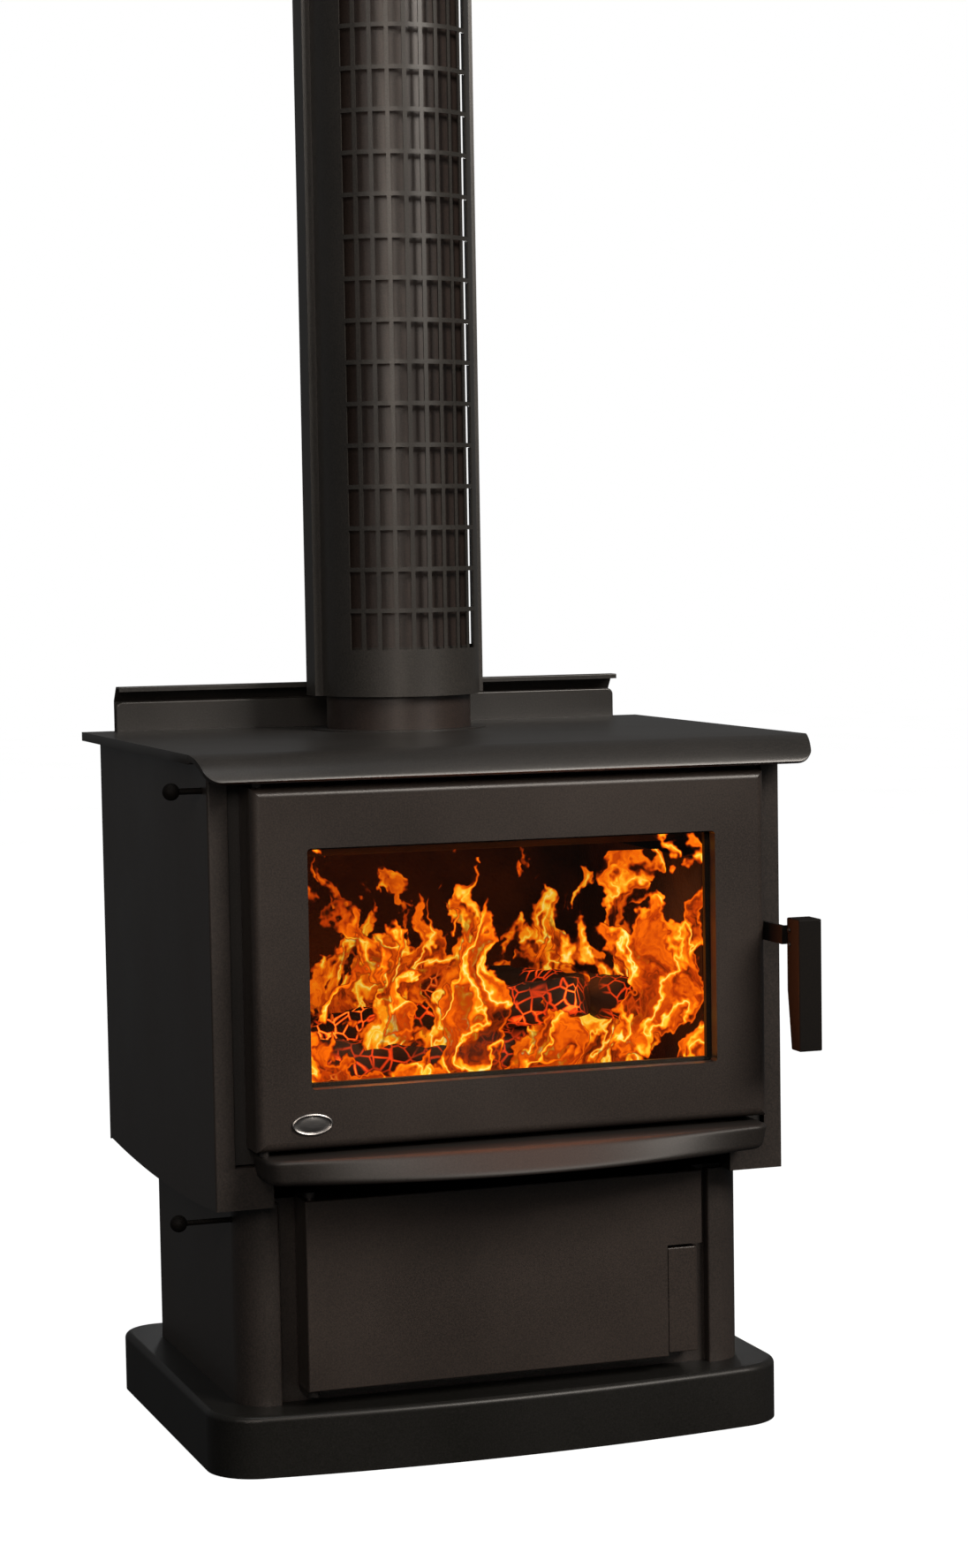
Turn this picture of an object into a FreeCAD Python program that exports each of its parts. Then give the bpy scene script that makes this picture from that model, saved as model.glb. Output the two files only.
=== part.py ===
"""Free-standing wood burning stove on a storage pedestal, with its flue pipe and perforated flue shield.

Millimetres. +Z is up, -Y is the front, and the origin is the middle of the plinth's underside.
"""
import FreeCAD
import Part
import Sketcher
import math
import os
from types import SimpleNamespace

Vector = FreeCAD.Vector
Rotation = FreeCAD.Rotation
doc = FreeCAD.newDocument("WoodStove")


# ---------------------------------------------------------------- sizes

class Size:
    """A number together with the spreadsheet expression that gives it."""

    def __init__(self, value, text):
        self.value = float(value)
        self.text = text

    def __add__(self, other):
        other = as_size(other)
        return Size(self.value + other.value, f"({self.text} + {other.text})")

    def __radd__(self, other):
        return as_size(other) + self

    def __sub__(self, other):
        other = as_size(other)
        return Size(self.value - other.value, f"({self.text} - {other.text})")

    def __rsub__(self, other):
        return as_size(other) - self

    def __mul__(self, other):
        other = as_size(other)
        return Size(self.value * other.value, f"({self.text} * {other.text})")

    def __rmul__(self, other):
        return self * other

    def __truediv__(self, other):
        other = as_size(other)
        return Size(self.value / other.value, f"({self.text} / {other.text})")

    def __neg__(self):
        return Size(-self.value, f"(-1 * {self.text})")


def as_size(number):
    """Wrap a plain number so that it can stand in an expression."""
    if isinstance(number, Size):
        return number
    return Size(number, f"({number})")


SIZES = [
    ("stove_width", 578, "outside of the two side casings"),
    ("body_height", 690, "floor to the cooking surface"),
    ("casing_depth", 461, "front fold of the side casing to the rear panel"),
    ("plinth_overhang", 4, "plinth beyond the side casing, each side"),
    ("plinth_depth", 452, "plinth, front to back at the middle"),
    ("plinth_height", 60, "plinth"),
    ("plinth_bow", 24, "how far the plinth's front swells at the middle"),
    ("plinth_front_radius", 50, "front corners of the plinth in plan"),
    ("plinth_rear_radius", 40, "rear corners of the plinth in plan"),
    ("plinth_edge_radius", 6, "rounded top edge of the plinth"),
    ("plinth_wall", 3, "folded plinth sheet"),
    ("plinth_toe", 22, "plinth's front ahead of the casing's front"),
    ("bolt_spacing_x", 400, "floor fixing holes, side to side"),
    ("bolt_spacing_y", 280, "floor fixing holes, front to back"),
    ("bolt_radius", 5.5, "floor fixing holes"),
    ("pedestal_height", 196, "pedestal above the plinth"),
    ("pedestal_inset", 29, "pedestal's side inside the casing's side"),
    ("pedestal_setback", 30, "pedestal's front behind the casing's front"),
    ("pedestal_depth", 334, "pedestal, front to back"),
    ("pedestal_wall", 3, "pedestal sheet"),
    ("pedestal_corner", 34, "rounded front corners of the pedestal"),
    ("column_width", 39.5, "front face of each pedestal column"),
    ("column_return", 12, "inward fold at the column's inner edge"),
    ("storage_strip", 18, "storage frame seen beside its door"),
    ("storage_rail", 17, "storage frame above and below its opening"),
    ("storage_ceiling_drop", 32, "storage ceiling below the pedestal's top"),
    ("storage_gap", 3, "storage door clear of its frame"),
    ("storage_door_depth", 38.5, "storage door tray, front to back"),
    ("storage_door_lift", 17, "storage door's lower edge above the plinth"),
    ("storage_door_rise", 5, "storage door's upper edge above the pedestal's top"),
    ("storage_door_wall", 3, "storage door sheet"),
    ("storage_pin_radius", 4, "storage door hinge pins"),
    ("storage_knuckle", 12, "storage door knuckle height"),
    ("storage_arm", 5, "storage hinge arm thickness"),
    ("storage_pin_inset", 8, "storage hinge axis inside the door's edge"),
    ("storage_pin_behind", 14, "storage hinge axis behind the door's face"),
    ("pull_notch_width", 37, "corner notch of the storage door"),
    ("pull_notch_height", 111.5, "corner notch of the storage door"),
    ("pull_notch_depth", 20.5, "corner notch of the storage door"),
    ("pull_width", 32, "vertical pull in the notch"),
    ("pull_margin", 3.5, "pull clear of the notch, left and above"),
    ("pull_recess", 3, "pull's face behind the storage door's face"),
    ("pull_thick", 11, "pull, front to back"),
    ("pull_edge", 5, "rounded finger edge of the pull"),
    ("casing_wall", 2.5, "side casing sheet"),
    ("casing_bow", 8, "droop of the side casing's lower edge"),
    ("casing_lift", 2, "casing's lower front corner above the pedestal's top"),
    ("casing_fold", 2.4, "outside radius of the folded front edge"),
    ("casing_rear_round", 8, "lower rear corner of the side casing"),
    ("front_strip", 19, "front fold of the side casing"),
    ("foot_width", 56, "casing foot below the door, across the front"),
    ("foot_height", 40, "casing foot below the door"),
    ("foot_gap", 1, "foot's end clear of the pedestal's front"),
    ("firebox_gap", 39, "air gap between the casing and the firebox"),
    ("firebox_plate", 5, "firebox steel plate"),
    ("firebox_rear_gap", 42, "rear panel to the firebox's back"),
    ("firebox_headroom", 15, "firebox's top below the cooking plate"),
    ("front_frame_plate", 6, "front frame of the firebox"),
    ("front_frame_setback", 7, "front frame behind the casing's front"),
    ("front_frame_margin", 21, "front frame's edge inside the casing's side"),
    ("front_frame_lift", 44, "front frame's lower edge above the pedestal's top"),
    ("mouth_margin", 40, "firebox mouth inside the door's edge, at the sides"),
    ("mouth_sill", 38, "firebox mouth above the door's lower edge"),
    ("mouth_head", 36, "firebox mouth below the door's upper edge"),
    ("brick_thick", 25, "firebricks"),
    ("brick_height", 235, "side and back bricks above the base bricks"),
    ("brick_joint", 1, "gap between neighbouring bricks"),
    ("baffle_thick", 12, "baffle board"),
    ("baffle_drop", 66, "baffle's underside below the firebox's top"),
    ("baffle_setback", 120, "baffle's front edge behind the front frame"),
    ("air_tube_radius", 11, "secondary air tube"),
    ("air_tube_drop", 14, "air tube's middle below the baffle"),
    ("airwash_height", 16, "airwash duct over the mouth"),
    ("airwash_depth", 30, "airwash duct, front to back"),
    ("log_guard_height", 34, "log guard behind the mouth"),
    ("log_guard_thick", 8, "log guard"),
    ("flue_radius", 75, "outside of the flue pipe"),
    ("flue_wall", 1.2, "flue pipe sheet"),
    ("flue_from_front", 328.5, "flue's axis behind the casing's front"),
    ("flue_length", 1230, "first flue pipe above the cooking surface"),
    ("flue_socket", 18, "flue pipe below the cooking surface"),
    ("flue_clearance", 0.3, "flue pipe in the cooking plate and the collar"),
    ("flue_collar_wall", 5, "flue collar on the firebox"),
    ("flue_ring_radius", 91, "trim ring on the cooking plate"),
    ("flue_ring_thick", 1.5, "trim ring on the cooking plate"),
    ("shield_radius", 83, "flue shield's outside radius"),
    ("shield_half", 91.5, "flue shield's side flange from the axis"),
    ("shield_sheet", 1.5, "flue shield sheet"),
    ("shield_ahead", 5, "flange plane ahead of the flue's axis"),
    ("shield_return", 33, "flue shield's folded side"),
    ("shield_lift", 36, "flue shield's lower edge above the cooking surface"),
    ("shield_length", 1180, "flue shield"),
    ("slot_columns", 9, "perforations round the shield"),
    ("slot_rows", 26, "perforations up the shield"),
    ("slot_pitch_deg", 12.2, "perforations round the shield"),
    ("slot_width_deg", 9.2, "perforations round the shield"),
    ("slot_pitch", 42, "perforations up the shield"),
    ("slot_height", 37.5, "perforations up the shield"),
    ("slot_start", 48, "lowest perforation above the shield's lower edge"),
    ("band_height", 20, "shield clamp bands"),
    ("band_sheet", 1.5, "shield clamp bands"),
    ("band_end", 30, "outer bands from the shield's ends"),
    ("band_ear_depth", 6, "ears of the clamp bands, front to back"),
    ("top_overhang", 22, "cooking plate beyond the side casing"),
    ("top_thick", 9, "cooking plate"),
    ("top_rear_inset", 13, "cooking plate's rear edge ahead of the rear panel"),
    ("lip_start", 18, "cooking plate's crease ahead of the casing's front"),
    ("lip_reach", 40, "lip ahead of the crease"),
    ("lip_slope_drop", 15, "lip's fall before its rolled edge"),
    ("lip_drop", 26, "cooking surface to the lip's underside"),
    ("lip_nose", 5.4, "rolled edge of the lip"),
    ("lip_bend", 5, "soft crease of the cooking plate"),
    ("lip_taper", 7, "lip's ends drawn in"),
    ("upstand_inset", 11, "rear upstand inside the side casing"),
    ("upstand_ahead", 31.5, "rear upstand ahead of the rear panel"),
    ("upstand_height", 31, "rear upstand above the cooking surface"),
    ("upstand_sheet", 2, "rear upstand sheet"),
    ("upstand_roll", 4, "rolled top edge of the upstand"),
    ("upstand_corner", 7, "rounded corners of the upstand"),
    ("deflector_ahead", 17, "rear deflector ahead of the rear panel"),
    ("deflector_height", 47, "rear deflector above the cooking surface"),
    ("deflector_knee", 32, "height of the deflector's first fold"),
    ("deflector_lean", 12, "deflector's slope, towards the front"),
    ("deflector_flange", 28, "deflector's fold to its front lip"),
    ("deflector_lip", 5, "deflector's front lip"),
    ("door_margin", 31.5, "door's edge inside the casing's side"),
    ("door_lift", 61, "door's lower edge above the pedestal's top"),
    ("door_head", 32, "door's upper edge below the cooking surface"),
    ("door_reach", 39, "door's face ahead of the casing's front"),
    ("door_gap", 4, "door's back clear of the front frame"),
    ("door_wall", 4, "door plate"),
    ("door_edge", 9, "rolled edge of the door"),
    ("window_stile", 53, "door's edge to the window"),
    ("window_rail_low", 57, "door's lower edge to the window"),
    ("window_rail_high", 58, "door's upper edge to the window"),
    ("window_corner", 3.5, "window's corner radius"),
    ("reveal_depth", 14, "window reveal, door's face to the glass tape"),
    ("reveal_wall", 3, "flange round the window"),
    ("glass_lap", 9, "glass behind the window's edge"),
    ("glass_thick", 4, "ceramic glass"),
    ("tape_thick", 2, "glass tape"),
    ("retainer_thick", 6, "glass retainer"),
    ("retainer_lap", 3, "retainer inside the window's edge"),
    ("retainer_band", 22, "width of the retainer's frame"),
    ("rope_size", 11, "door rope seal"),
    ("rope_inset", 16, "door's edge to the rope's middle"),
    ("rope_compression", 0.6, "rope clear of the front frame"),
    ("badge_width", 40, "oval badge"),
    ("badge_height", 21, "oval badge"),
    ("badge_thick", 2.4, "oval badge"),
    ("badge_rim", 1.6, "raised rim of the badge"),
    ("badge_side", 52.5, "badge's middle from the door's edge"),
    ("badge_lift", 24.5, "badge's middle above the door's lower edge"),
    ("hinge_inset", 10, "hinge axis inside the door's edge"),
    ("hinge_behind", 15, "hinge axis behind the door's face"),
    ("hinge_radius", 5, "hinge pins"),
    ("hinge_clearance", 0.06, "hinge pins in their bores"),
    ("hinge_boss", 9, "half the width of a hinge boss"),
    ("hinge_boss_height", 14, "hinge bosses"),
    ("hinge_lug", 6, "thickness of the upper hinge lug"),
    ("shelf_inset", 4.5, "shelf's end inside the door's edge"),
    ("shelf_drop", 5, "shelf's top below the door"),
    ("shelf_height", 25, "shelf, top to bottom"),
    ("shelf_top_reach", 67, "shelf's upper front edge at its ends, ahead of the front frame"),
    ("shelf_top_bow", 12, "swell of the shelf's upper front edge"),
    ("shelf_low_reach", 62, "shelf's lower front edge at its ends, ahead of the front frame"),
    ("shelf_low_bow", 40, "swell of the shelf's lower front edge"),
    ("shelf_low_inset", 1, "shelf's lower edge inside its upper edge, at the ends"),
    ("shelf_wall", 3, "shelf sheet"),
    ("shelf_round", 5, "rolled lower edge of the shelf"),
    ("shelf_corner", 13, "corners of the shelf in plan"),
    ("latch_back", 21, "latch shaft behind the door's face"),
    ("latch_level", 182, "latch shaft above the door's lower edge"),
    ("latch_shaft_radius", 6, "latch shaft"),
    ("latch_clearance", 0.06, "latch shaft in the door's side"),
    ("latch_arm_thick", 4, "latch arm"),
    ("latch_arm_height", 18, "latch arm"),
    ("latch_arm_reach", 32, "latch arm ahead of the door's face"),
    ("latch_arm_gap", 1, "latch arm clear of the door's side"),
    ("grip_width", 24, "handle grip, across"),
    ("grip_depth", 28, "handle grip, front to back"),
    ("grip_length", 128, "handle grip, top to bottom"),
    ("grip_above", 17, "grip's top above the latch shaft"),
    ("grip_aside", 6.5, "grip beyond the door's side"),
    ("grip_slant", 9, "how far the grip's back is cut forward at its foot"),
    ("grip_edge", 1.5, "eased edges of the grip"),
    ("grip_screw_radius", 2.3, "grip screws"),
    ("grip_screw_pitch", 14, "grip screws"),
    ("cam_thick", 6, "latch cam"),
    ("cam_reach", 19, "latch cam behind its shaft"),
    ("catch_clearance", 2, "latch cam below the catch"),
    ("knob_radius", 8.2, "ball knobs"),
    ("upper_rod_radius", 3, "airwash control rod"),
    ("upper_rod_out", 29, "airwash knob outside the casing"),
    ("upper_rod_back", 20.5, "airwash rod behind the casing's front"),
    ("upper_rod_drop", 36.5, "airwash rod below the cooking surface"),
    ("lower_rod_radius", 2.6, "start-up air rod"),
    ("lower_rod_out", 51, "start-up air knob outside the pedestal"),
    ("lower_rod_back", 31.5, "start-up air rod behind the pedestal's front"),
    ("lower_rod_drop", 18, "start-up air rod below the pedestal's top"),
    ("rod_clearance", 0.6, "control rods in their holes"),
    ("shutter_thick", 3, "sliding air shutters"),
]

sheet = doc.addObject("Spreadsheet::Sheet", "Sizes")
S = SimpleNamespace()
for row, (alias, number, meaning) in enumerate(SIZES, start=1):
    sheet.set(f"A{row}", meaning)
    sheet.set(f"B{row}", str(number))
    sheet.setAlias(f"B{row}", alias)
    setattr(S, alias, Size(number, f"Sizes.{alias}"))
doc.recompute()


# ---------------------------------------------------------------- places that several pieces share

casing_half = S.stove_width / 2
casing_front = S.plinth_toe - S.plinth_depth / 2
casing_rear = casing_front + S.casing_depth
top_surface = S.body_height
top_underside = top_surface - S.top_thick

pedestal_half = casing_half - S.pedestal_inset
pedestal_front = casing_front + S.pedestal_setback
pedestal_rear = pedestal_front + S.pedestal_depth
pedestal_top = S.plinth_height + S.pedestal_height
column_edge = pedestal_half - S.column_width
storage_half = column_edge - S.storage_strip
storage_frame_front = pedestal_front + S.column_return
storage_ceiling = pedestal_top - S.storage_ceiling_drop
storage_door_back = storage_frame_front - S.storage_gap
storage_door_face = storage_door_back - S.storage_door_depth
storage_door_low = S.plinth_height + S.storage_door_lift
storage_door_high = pedestal_top + S.storage_door_rise

casing_low = pedestal_top + S.casing_lift
foot_edge = casing_half - S.foot_width
foot_top = casing_low + S.foot_height

frame_face = casing_front + S.front_frame_setback
frame_back = frame_face + S.front_frame_plate
frame_half = casing_half - S.front_frame_margin
frame_low = pedestal_top + S.front_frame_lift
frame_high = top_underside - 1

firebox_half = casing_half - S.firebox_gap
firebox_back = casing_rear - S.firebox_rear_gap
firebox_low = frame_low
firebox_top = top_underside - S.firebox_headroom
floor_top = firebox_low + S.firebox_plate

door_half = casing_half - S.door_margin
door_low = pedestal_top + S.door_lift
door_high = top_surface - S.door_head
door_face = casing_front - S.door_reach
door_back = frame_face - S.door_gap
window_half = door_half - S.window_stile
window_low = door_low + S.window_rail_low
window_high = door_high - S.window_rail_high
tape_front = door_face + S.reveal_depth
glass_front = tape_front + S.tape_thick
glass_back = glass_front + S.glass_thick
mouth_half = door_half - S.mouth_margin
mouth_low = door_low + S.mouth_sill
mouth_high = door_high - S.mouth_head

hinge_x = S.hinge_inset - door_half
hinge_y = door_face + S.hinge_behind
shelf_top = door_low - S.shelf_drop
shelf_half = door_half - S.shelf_inset

latch_y = door_face + S.latch_back
latch_z = door_low + S.latch_level
grip_left = door_half + S.grip_aside
grip_rear = door_face - S.latch_arm_reach - S.latch_arm_thick

flue_y = casing_front + S.flue_from_front
shield_low = top_surface + S.shield_lift
flange_y = flue_y - S.shield_ahead

upper_rod_y = casing_front + S.upper_rod_back
upper_rod_z = top_surface - S.upper_rod_drop
lower_rod_y = pedestal_front + S.lower_rod_back
lower_rod_z = pedestal_top - S.lower_rod_drop


# ---------------------------------------------------------------- how pieces are made

finished = []


def bind(obj, prop, size):
    """Tie a property to the spreadsheet."""
    obj.setExpression(prop, as_size(size).text)


def finish(obj, label):
    """Name an object as a finished sub-part."""
    obj.Label = label
    finished.append(obj)
    return obj


def place(obj, x, y, z, rotation=None):
    """Turn an object, then tie its position to the spreadsheet."""
    if rotation is not None:
        obj.Placement = FreeCAD.Placement(Vector(0, 0, 0), rotation)
    bind(obj, "Placement.Base.x", x)
    bind(obj, "Placement.Base.y", y)
    bind(obj, "Placement.Base.z", z)


def box(name, x, y, z):
    """A block between two places along each axis, given as pairs."""
    block = doc.addObject("Part::Box", name)
    bind(block, "Length", as_size(x[1]) - x[0])
    bind(block, "Width", as_size(y[1]) - y[0])
    bind(block, "Height", as_size(z[1]) - z[0])
    place(block, x[0], y[0], z[0])
    return block


ALONG = {
    "x": Rotation(Vector(0, 1, 0), 90),
    "y": Rotation(Vector(1, 0, 0), -90),
    "z": Rotation(Vector(0, 0, 1), 0),
}


def rod(name, radius, length, start, axis):
    """A cylinder that runs from start in the positive direction of an axis."""
    cylinder = doc.addObject("Part::Cylinder", name)
    bind(cylinder, "Radius", radius)
    bind(cylinder, "Height", length)
    place(cylinder, *start, ALONG[axis])
    return cylinder


def ball(name, radius, centre):
    """A sphere."""
    sphere = doc.addObject("Part::Sphere", name)
    bind(sphere, "Radius", radius)
    place(sphere, *centre)
    return sphere


def cut(name, base, *tools):
    """Base with every tool taken away, one after another."""
    for number, tool in enumerate(tools, start=1):
        result = doc.addObject("Part::Cut", f"{name}_{number}")
        result.Base = base
        result.Tool = tool
        base = result
    return base


def fuse(name, *shapes):
    """Several shapes welded into one piece."""
    union = doc.addObject("Part::MultiFuse", name)
    union.Shapes = list(shapes)
    union.Refine = True
    return union


NORMAL = {"XY_Plane": 1, "XZ_Plane": -1, "YZ_Plane": 1}


class Sheetwork:
    """A body made from sketched profiles on its own origin planes."""

    def __init__(self, label):
        self.body = doc.addObject("PartDesign::Body", label)
        self.label = label
        self.count = 0

    def sketch(self, role, level, points, arcs=None):
        """A closed outline; arcs maps a side's number to its radius and its swell's sign."""
        self.count += 1
        sketch = self.body.newObject("Sketcher::SketchObject", f"{self.label}_outline_{self.count}")
        plane = [f for f in self.body.Origin.OriginFeatures if f.Role == role][0]
        sketch.AttachmentSupport = [(plane, "")]
        sketch.MapMode = "FlatFace"
        bind(sketch, "AttachmentOffset.Base.z", NORMAL[role] * as_size(level))
        points = [(as_size(u), as_size(v)) for u, v in points]
        draw_outline(sketch, points, arcs or {})
        return sketch

    def pad(self, role, start, end, points, arcs=None):
        """Fill an outline between two levels along the plane's axis."""
        low, high = as_size(start), as_size(end)
        base = low if NORMAL[role] > 0 else high
        sketch = self.sketch(role, base, points, arcs)
        pad = self.body.newObject("PartDesign::Pad", f"{self.label}_pad_{self.count}")
        pad.Profile = sketch
        bind(pad, "Length", high - low)
        doc.recompute()
        return pad

    def pocket(self, role, start, end, points, arcs=None):
        """Cut an outline between two levels along the plane's axis."""
        low, high = as_size(start), as_size(end)
        base = high if NORMAL[role] > 0 else low
        before = self.body.Shape.Volume
        sketch = self.sketch(role, base, points, arcs)
        pocket = self.body.newObject("PartDesign::Pocket", f"{self.label}_pocket_{self.count}")
        pocket.Profile = sketch
        bind(pocket, "Length", high - low)
        doc.recompute()
        if not self.body.Shape.Volume < before:
            raise RuntimeError(f"{self.label}: a pocket cut nothing")
        return pocket

    def hole(self, role, start, end, centre, radius):
        """Cut a round hole between two levels along the plane's axis."""
        low, high = as_size(start), as_size(end)
        base = high if NORMAL[role] > 0 else low
        before = self.body.Shape.Volume
        self.count += 1
        sketch = self.body.newObject("Sketcher::SketchObject", f"{self.label}_circle_{self.count}")
        plane = [f for f in self.body.Origin.OriginFeatures if f.Role == role][0]
        sketch.AttachmentSupport = [(plane, "")]
        sketch.MapMode = "FlatFace"
        bind(sketch, "AttachmentOffset.Base.z", NORMAL[role] * base)
        u, v, radius = as_size(centre[0]), as_size(centre[1]), as_size(radius)
        sketch.addGeometry(Part.Circle(Vector(u.value, v.value, 0), Vector(0, 0, 1), radius.value), False)
        hold_point(sketch, 0, 3, u, v, "centre")
        index = sketch.addConstraint(Sketcher.Constraint("Radius", 0, radius.value))
        sketch.renameConstraint(index, "radius")
        bind(sketch, "Constraints.radius", radius)
        pocket = self.body.newObject("PartDesign::Pocket", f"{self.label}_hole_{self.count}")
        pocket.Profile = sketch
        bind(pocket, "Length", high - low)
        doc.recompute()
        if not self.body.Shape.Volume < before:
            raise RuntimeError(f"{self.label}: a hole cut nothing")
        return pocket

    def fillet(self, radius, wanted):
        """Round the edges that a test picks from their direction and middle."""
        base = self.body.Tip
        names = pick_edges(base.Shape, wanted)
        if not names:
            raise RuntimeError(f"{self.label}: no edge to round")
        fillet = self.body.newObject("PartDesign::Fillet", f"{self.label}_round_{len(names)}")
        fillet.Base = (base, names)
        bind(fillet, "Radius", radius)
        doc.recompute()
        return fillet

    def done(self):
        """Hand the body over as a finished sub-part."""
        return finish(self.body, self.label)


def hold_point(sketch, geometry, end, u, v, name):
    """Pin one sketch point to the spreadsheet, measured from the sketch's origin."""
    for axis, size in (("X", u), ("Y", v)):
        rule = Sketcher.Constraint(f"Distance{axis}", -1, 1, geometry, end, size.value)
        index = sketch.addConstraint(rule)
        sketch.renameConstraint(index, f"{name}_{axis.lower()}")
        bind(sketch, f"Constraints.{name}_{axis.lower()}", size)


def draw_outline(sketch, points, arcs):
    """Draw a closed outline of lines and arcs with every corner held by the spreadsheet."""
    count = len(points)
    starts = {}
    for side in range(count):
        a, b = points[side], points[(side + 1) % count]
        first = Vector(a[0].value, a[1].value, 0)
        last = Vector(b[0].value, b[1].value, 0)
        if side in arcs:
            radius, bulge = as_size(arcs[side][0]), arcs[side][1]
            edge = arc_between(first, last, radius.value, bulge)
            starts[side] = 1 if bulge > 0 else 2
        else:
            edge = Part.LineSegment(first, last)
            starts[side] = 1
        sketch.addGeometry(edge, False)
    for side in range(count):
        after = (side + 1) % count
        join = Sketcher.Constraint("Coincident", side, 3 - starts[side], after, starts[after])
        sketch.addConstraint(join)
        hold_point(sketch, side, starts[side], *points[side], f"p{side}")
    for side, (radius, bulge) in arcs.items():
        index = sketch.addConstraint(Sketcher.Constraint("Radius", side, as_size(radius).value))
        sketch.renameConstraint(index, f"radius{side}")
        bind(sketch, f"Constraints.radius{side}", radius)


def arc_between(first, last, radius, bulge):
    """A minor arc that swells to the right (bulge 1) or the left (-1) of the way from first to last.

    It always runs anticlockwise, so with bulge -1 it starts at last.
    """
    chord = last - first
    half = chord.Length / 2
    swell = radius - math.sqrt(radius * radius - half * half)
    side = Vector(chord.y, -chord.x, 0).normalize()
    middle = (first + last) * 0.5 + side * swell * bulge
    return Part.Arc(first, middle, last) if bulge > 0 else Part.Arc(last, middle, first)


def bow_radius(half, swell):
    """The radius of an arc from its half chord and its swell."""
    return (half * half + swell * swell) / (2 * swell)


def pick_edges(shape, wanted):
    """Names of the edges that a test accepts; it reads the edge's direction and middle."""
    names = []
    for number, edge in enumerate(shape.Edges, start=1):
        ends = edge.Vertexes
        way = (ends[-1].Point - ends[0].Point) if len(ends) > 1 else Vector(0, 0, 0)
        if way.Length > 0:
            way.normalize()
        middle = edge.valueAt((edge.FirstParameter + edge.LastParameter) / 2)
        if wanted(way, middle):
            names.append(f"Edge{number}")
    return names


def near(a, b, slack=0.05):
    """Whether two lengths agree."""
    return abs(a - as_size(b).value) < slack


def ring(label, half, low, high, front, back, band):
    """A flat rectangular frame with an opening, both tied to the same edges."""
    piece = Sheetwork(label)
    piece.pad("XZ_Plane", front, back, rectangle(-half, half, low, high))
    inner = rectangle(band - half, half - band, low + band, high - band)
    piece.pocket("XZ_Plane", front, back, inner)
    return piece


def rectangle(left, right, low, high):
    """Corners of a rectangle, anticlockwise."""
    return [(left, low), (right, low), (right, high), (left, high)]


def mirrored(points, side):
    """An outline for the left (-1) or right (1) of the stove."""
    return [(side * as_size(u), v) for u, v in points]


def span(a, b, side):
    """A pair of places from the middle, in rising order, for the left or right of the stove."""
    return (side * as_size(a), side * as_size(b)) if side > 0 else (side * as_size(b), side * as_size(a))


SIDES = (("left", -1), ("right", 1))


# ---------------------------------------------------------------- plinth and pedestal

def plinth_outline(inset):
    """The plinth in plan, drawn in from its edge."""
    half = casing_half + S.plinth_overhang - inset
    front = inset - S.plinth_depth / 2
    rear = S.plinth_depth / 2 - inset
    points = [(-half, front + S.plinth_bow), (half, front + S.plinth_bow), (half, rear), (-half, rear)]
    return points, {0: (bow_radius(half, S.plinth_bow), 1)}


def round_plinth_corners(piece, inset, level):
    """Round the upright corners of a plan outline, wide at the front and tighter at the rear."""
    half = casing_half + S.plinth_overhang - inset
    front = inset - S.plinth_depth / 2 + S.plinth_bow

    def front_corner(way, middle):
        return abs(way.z) > 0.9 and near(abs(middle.x), half) and near(middle.y, front) and near(middle.z, level)

    def rear_corner(way, middle):
        rear = S.plinth_depth / 2 - inset
        return abs(way.z) > 0.9 and near(abs(middle.x), half) and near(middle.y, rear) and near(middle.z, level)

    piece.fillet(S.plinth_front_radius - inset, front_corner)
    piece.fillet(S.plinth_rear_radius - inset, rear_corner)


def make_plinth():
    """Folded plinth, open below, with a rounded top edge."""
    piece = Sheetwork("plinth_skin")
    piece.pad("XY_Plane", 0, S.plinth_height, *plinth_outline(as_size(0)))
    round_plinth_corners(piece, as_size(0), S.plinth_height / 2)
    piece.fillet(S.plinth_edge_radius, lambda way, middle: near(middle.z, S.plinth_height) and abs(way.z) < 0.5)
    hollow = Sheetwork("plinth_hollow")
    hollow.pad("XY_Plane", 0, S.plinth_height - S.plinth_wall, *plinth_outline(S.plinth_wall))
    round_plinth_corners(hollow, S.plinth_wall, (S.plinth_height - S.plinth_wall) / 2)
    hollow.fillet(
        S.plinth_edge_radius - S.plinth_wall,
        lambda way, middle: near(middle.z, S.plinth_height - S.plinth_wall) and abs(way.z) < 0.5,
    )
    finish(cut("plinth_shell", piece.body, hollow.body), "plinth")


def make_plinth_base():
    """Base plate inside the plinth with four floor fixing holes."""
    inset = S.plinth_wall
    piece = Sheetwork("plinth_base")
    piece.pad("XY_Plane", 0, S.plinth_wall, *plinth_outline(inset))
    round_plinth_corners(piece, inset, S.plinth_wall / 2)
    for x in (-1, 1):
        for y in (-1, 1):
            centre = (x * S.bolt_spacing_x / 2, y * S.bolt_spacing_y / 2)
            piece.hole("XY_Plane", 0, S.plinth_wall, centre, S.bolt_radius)
    piece.done()


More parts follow.
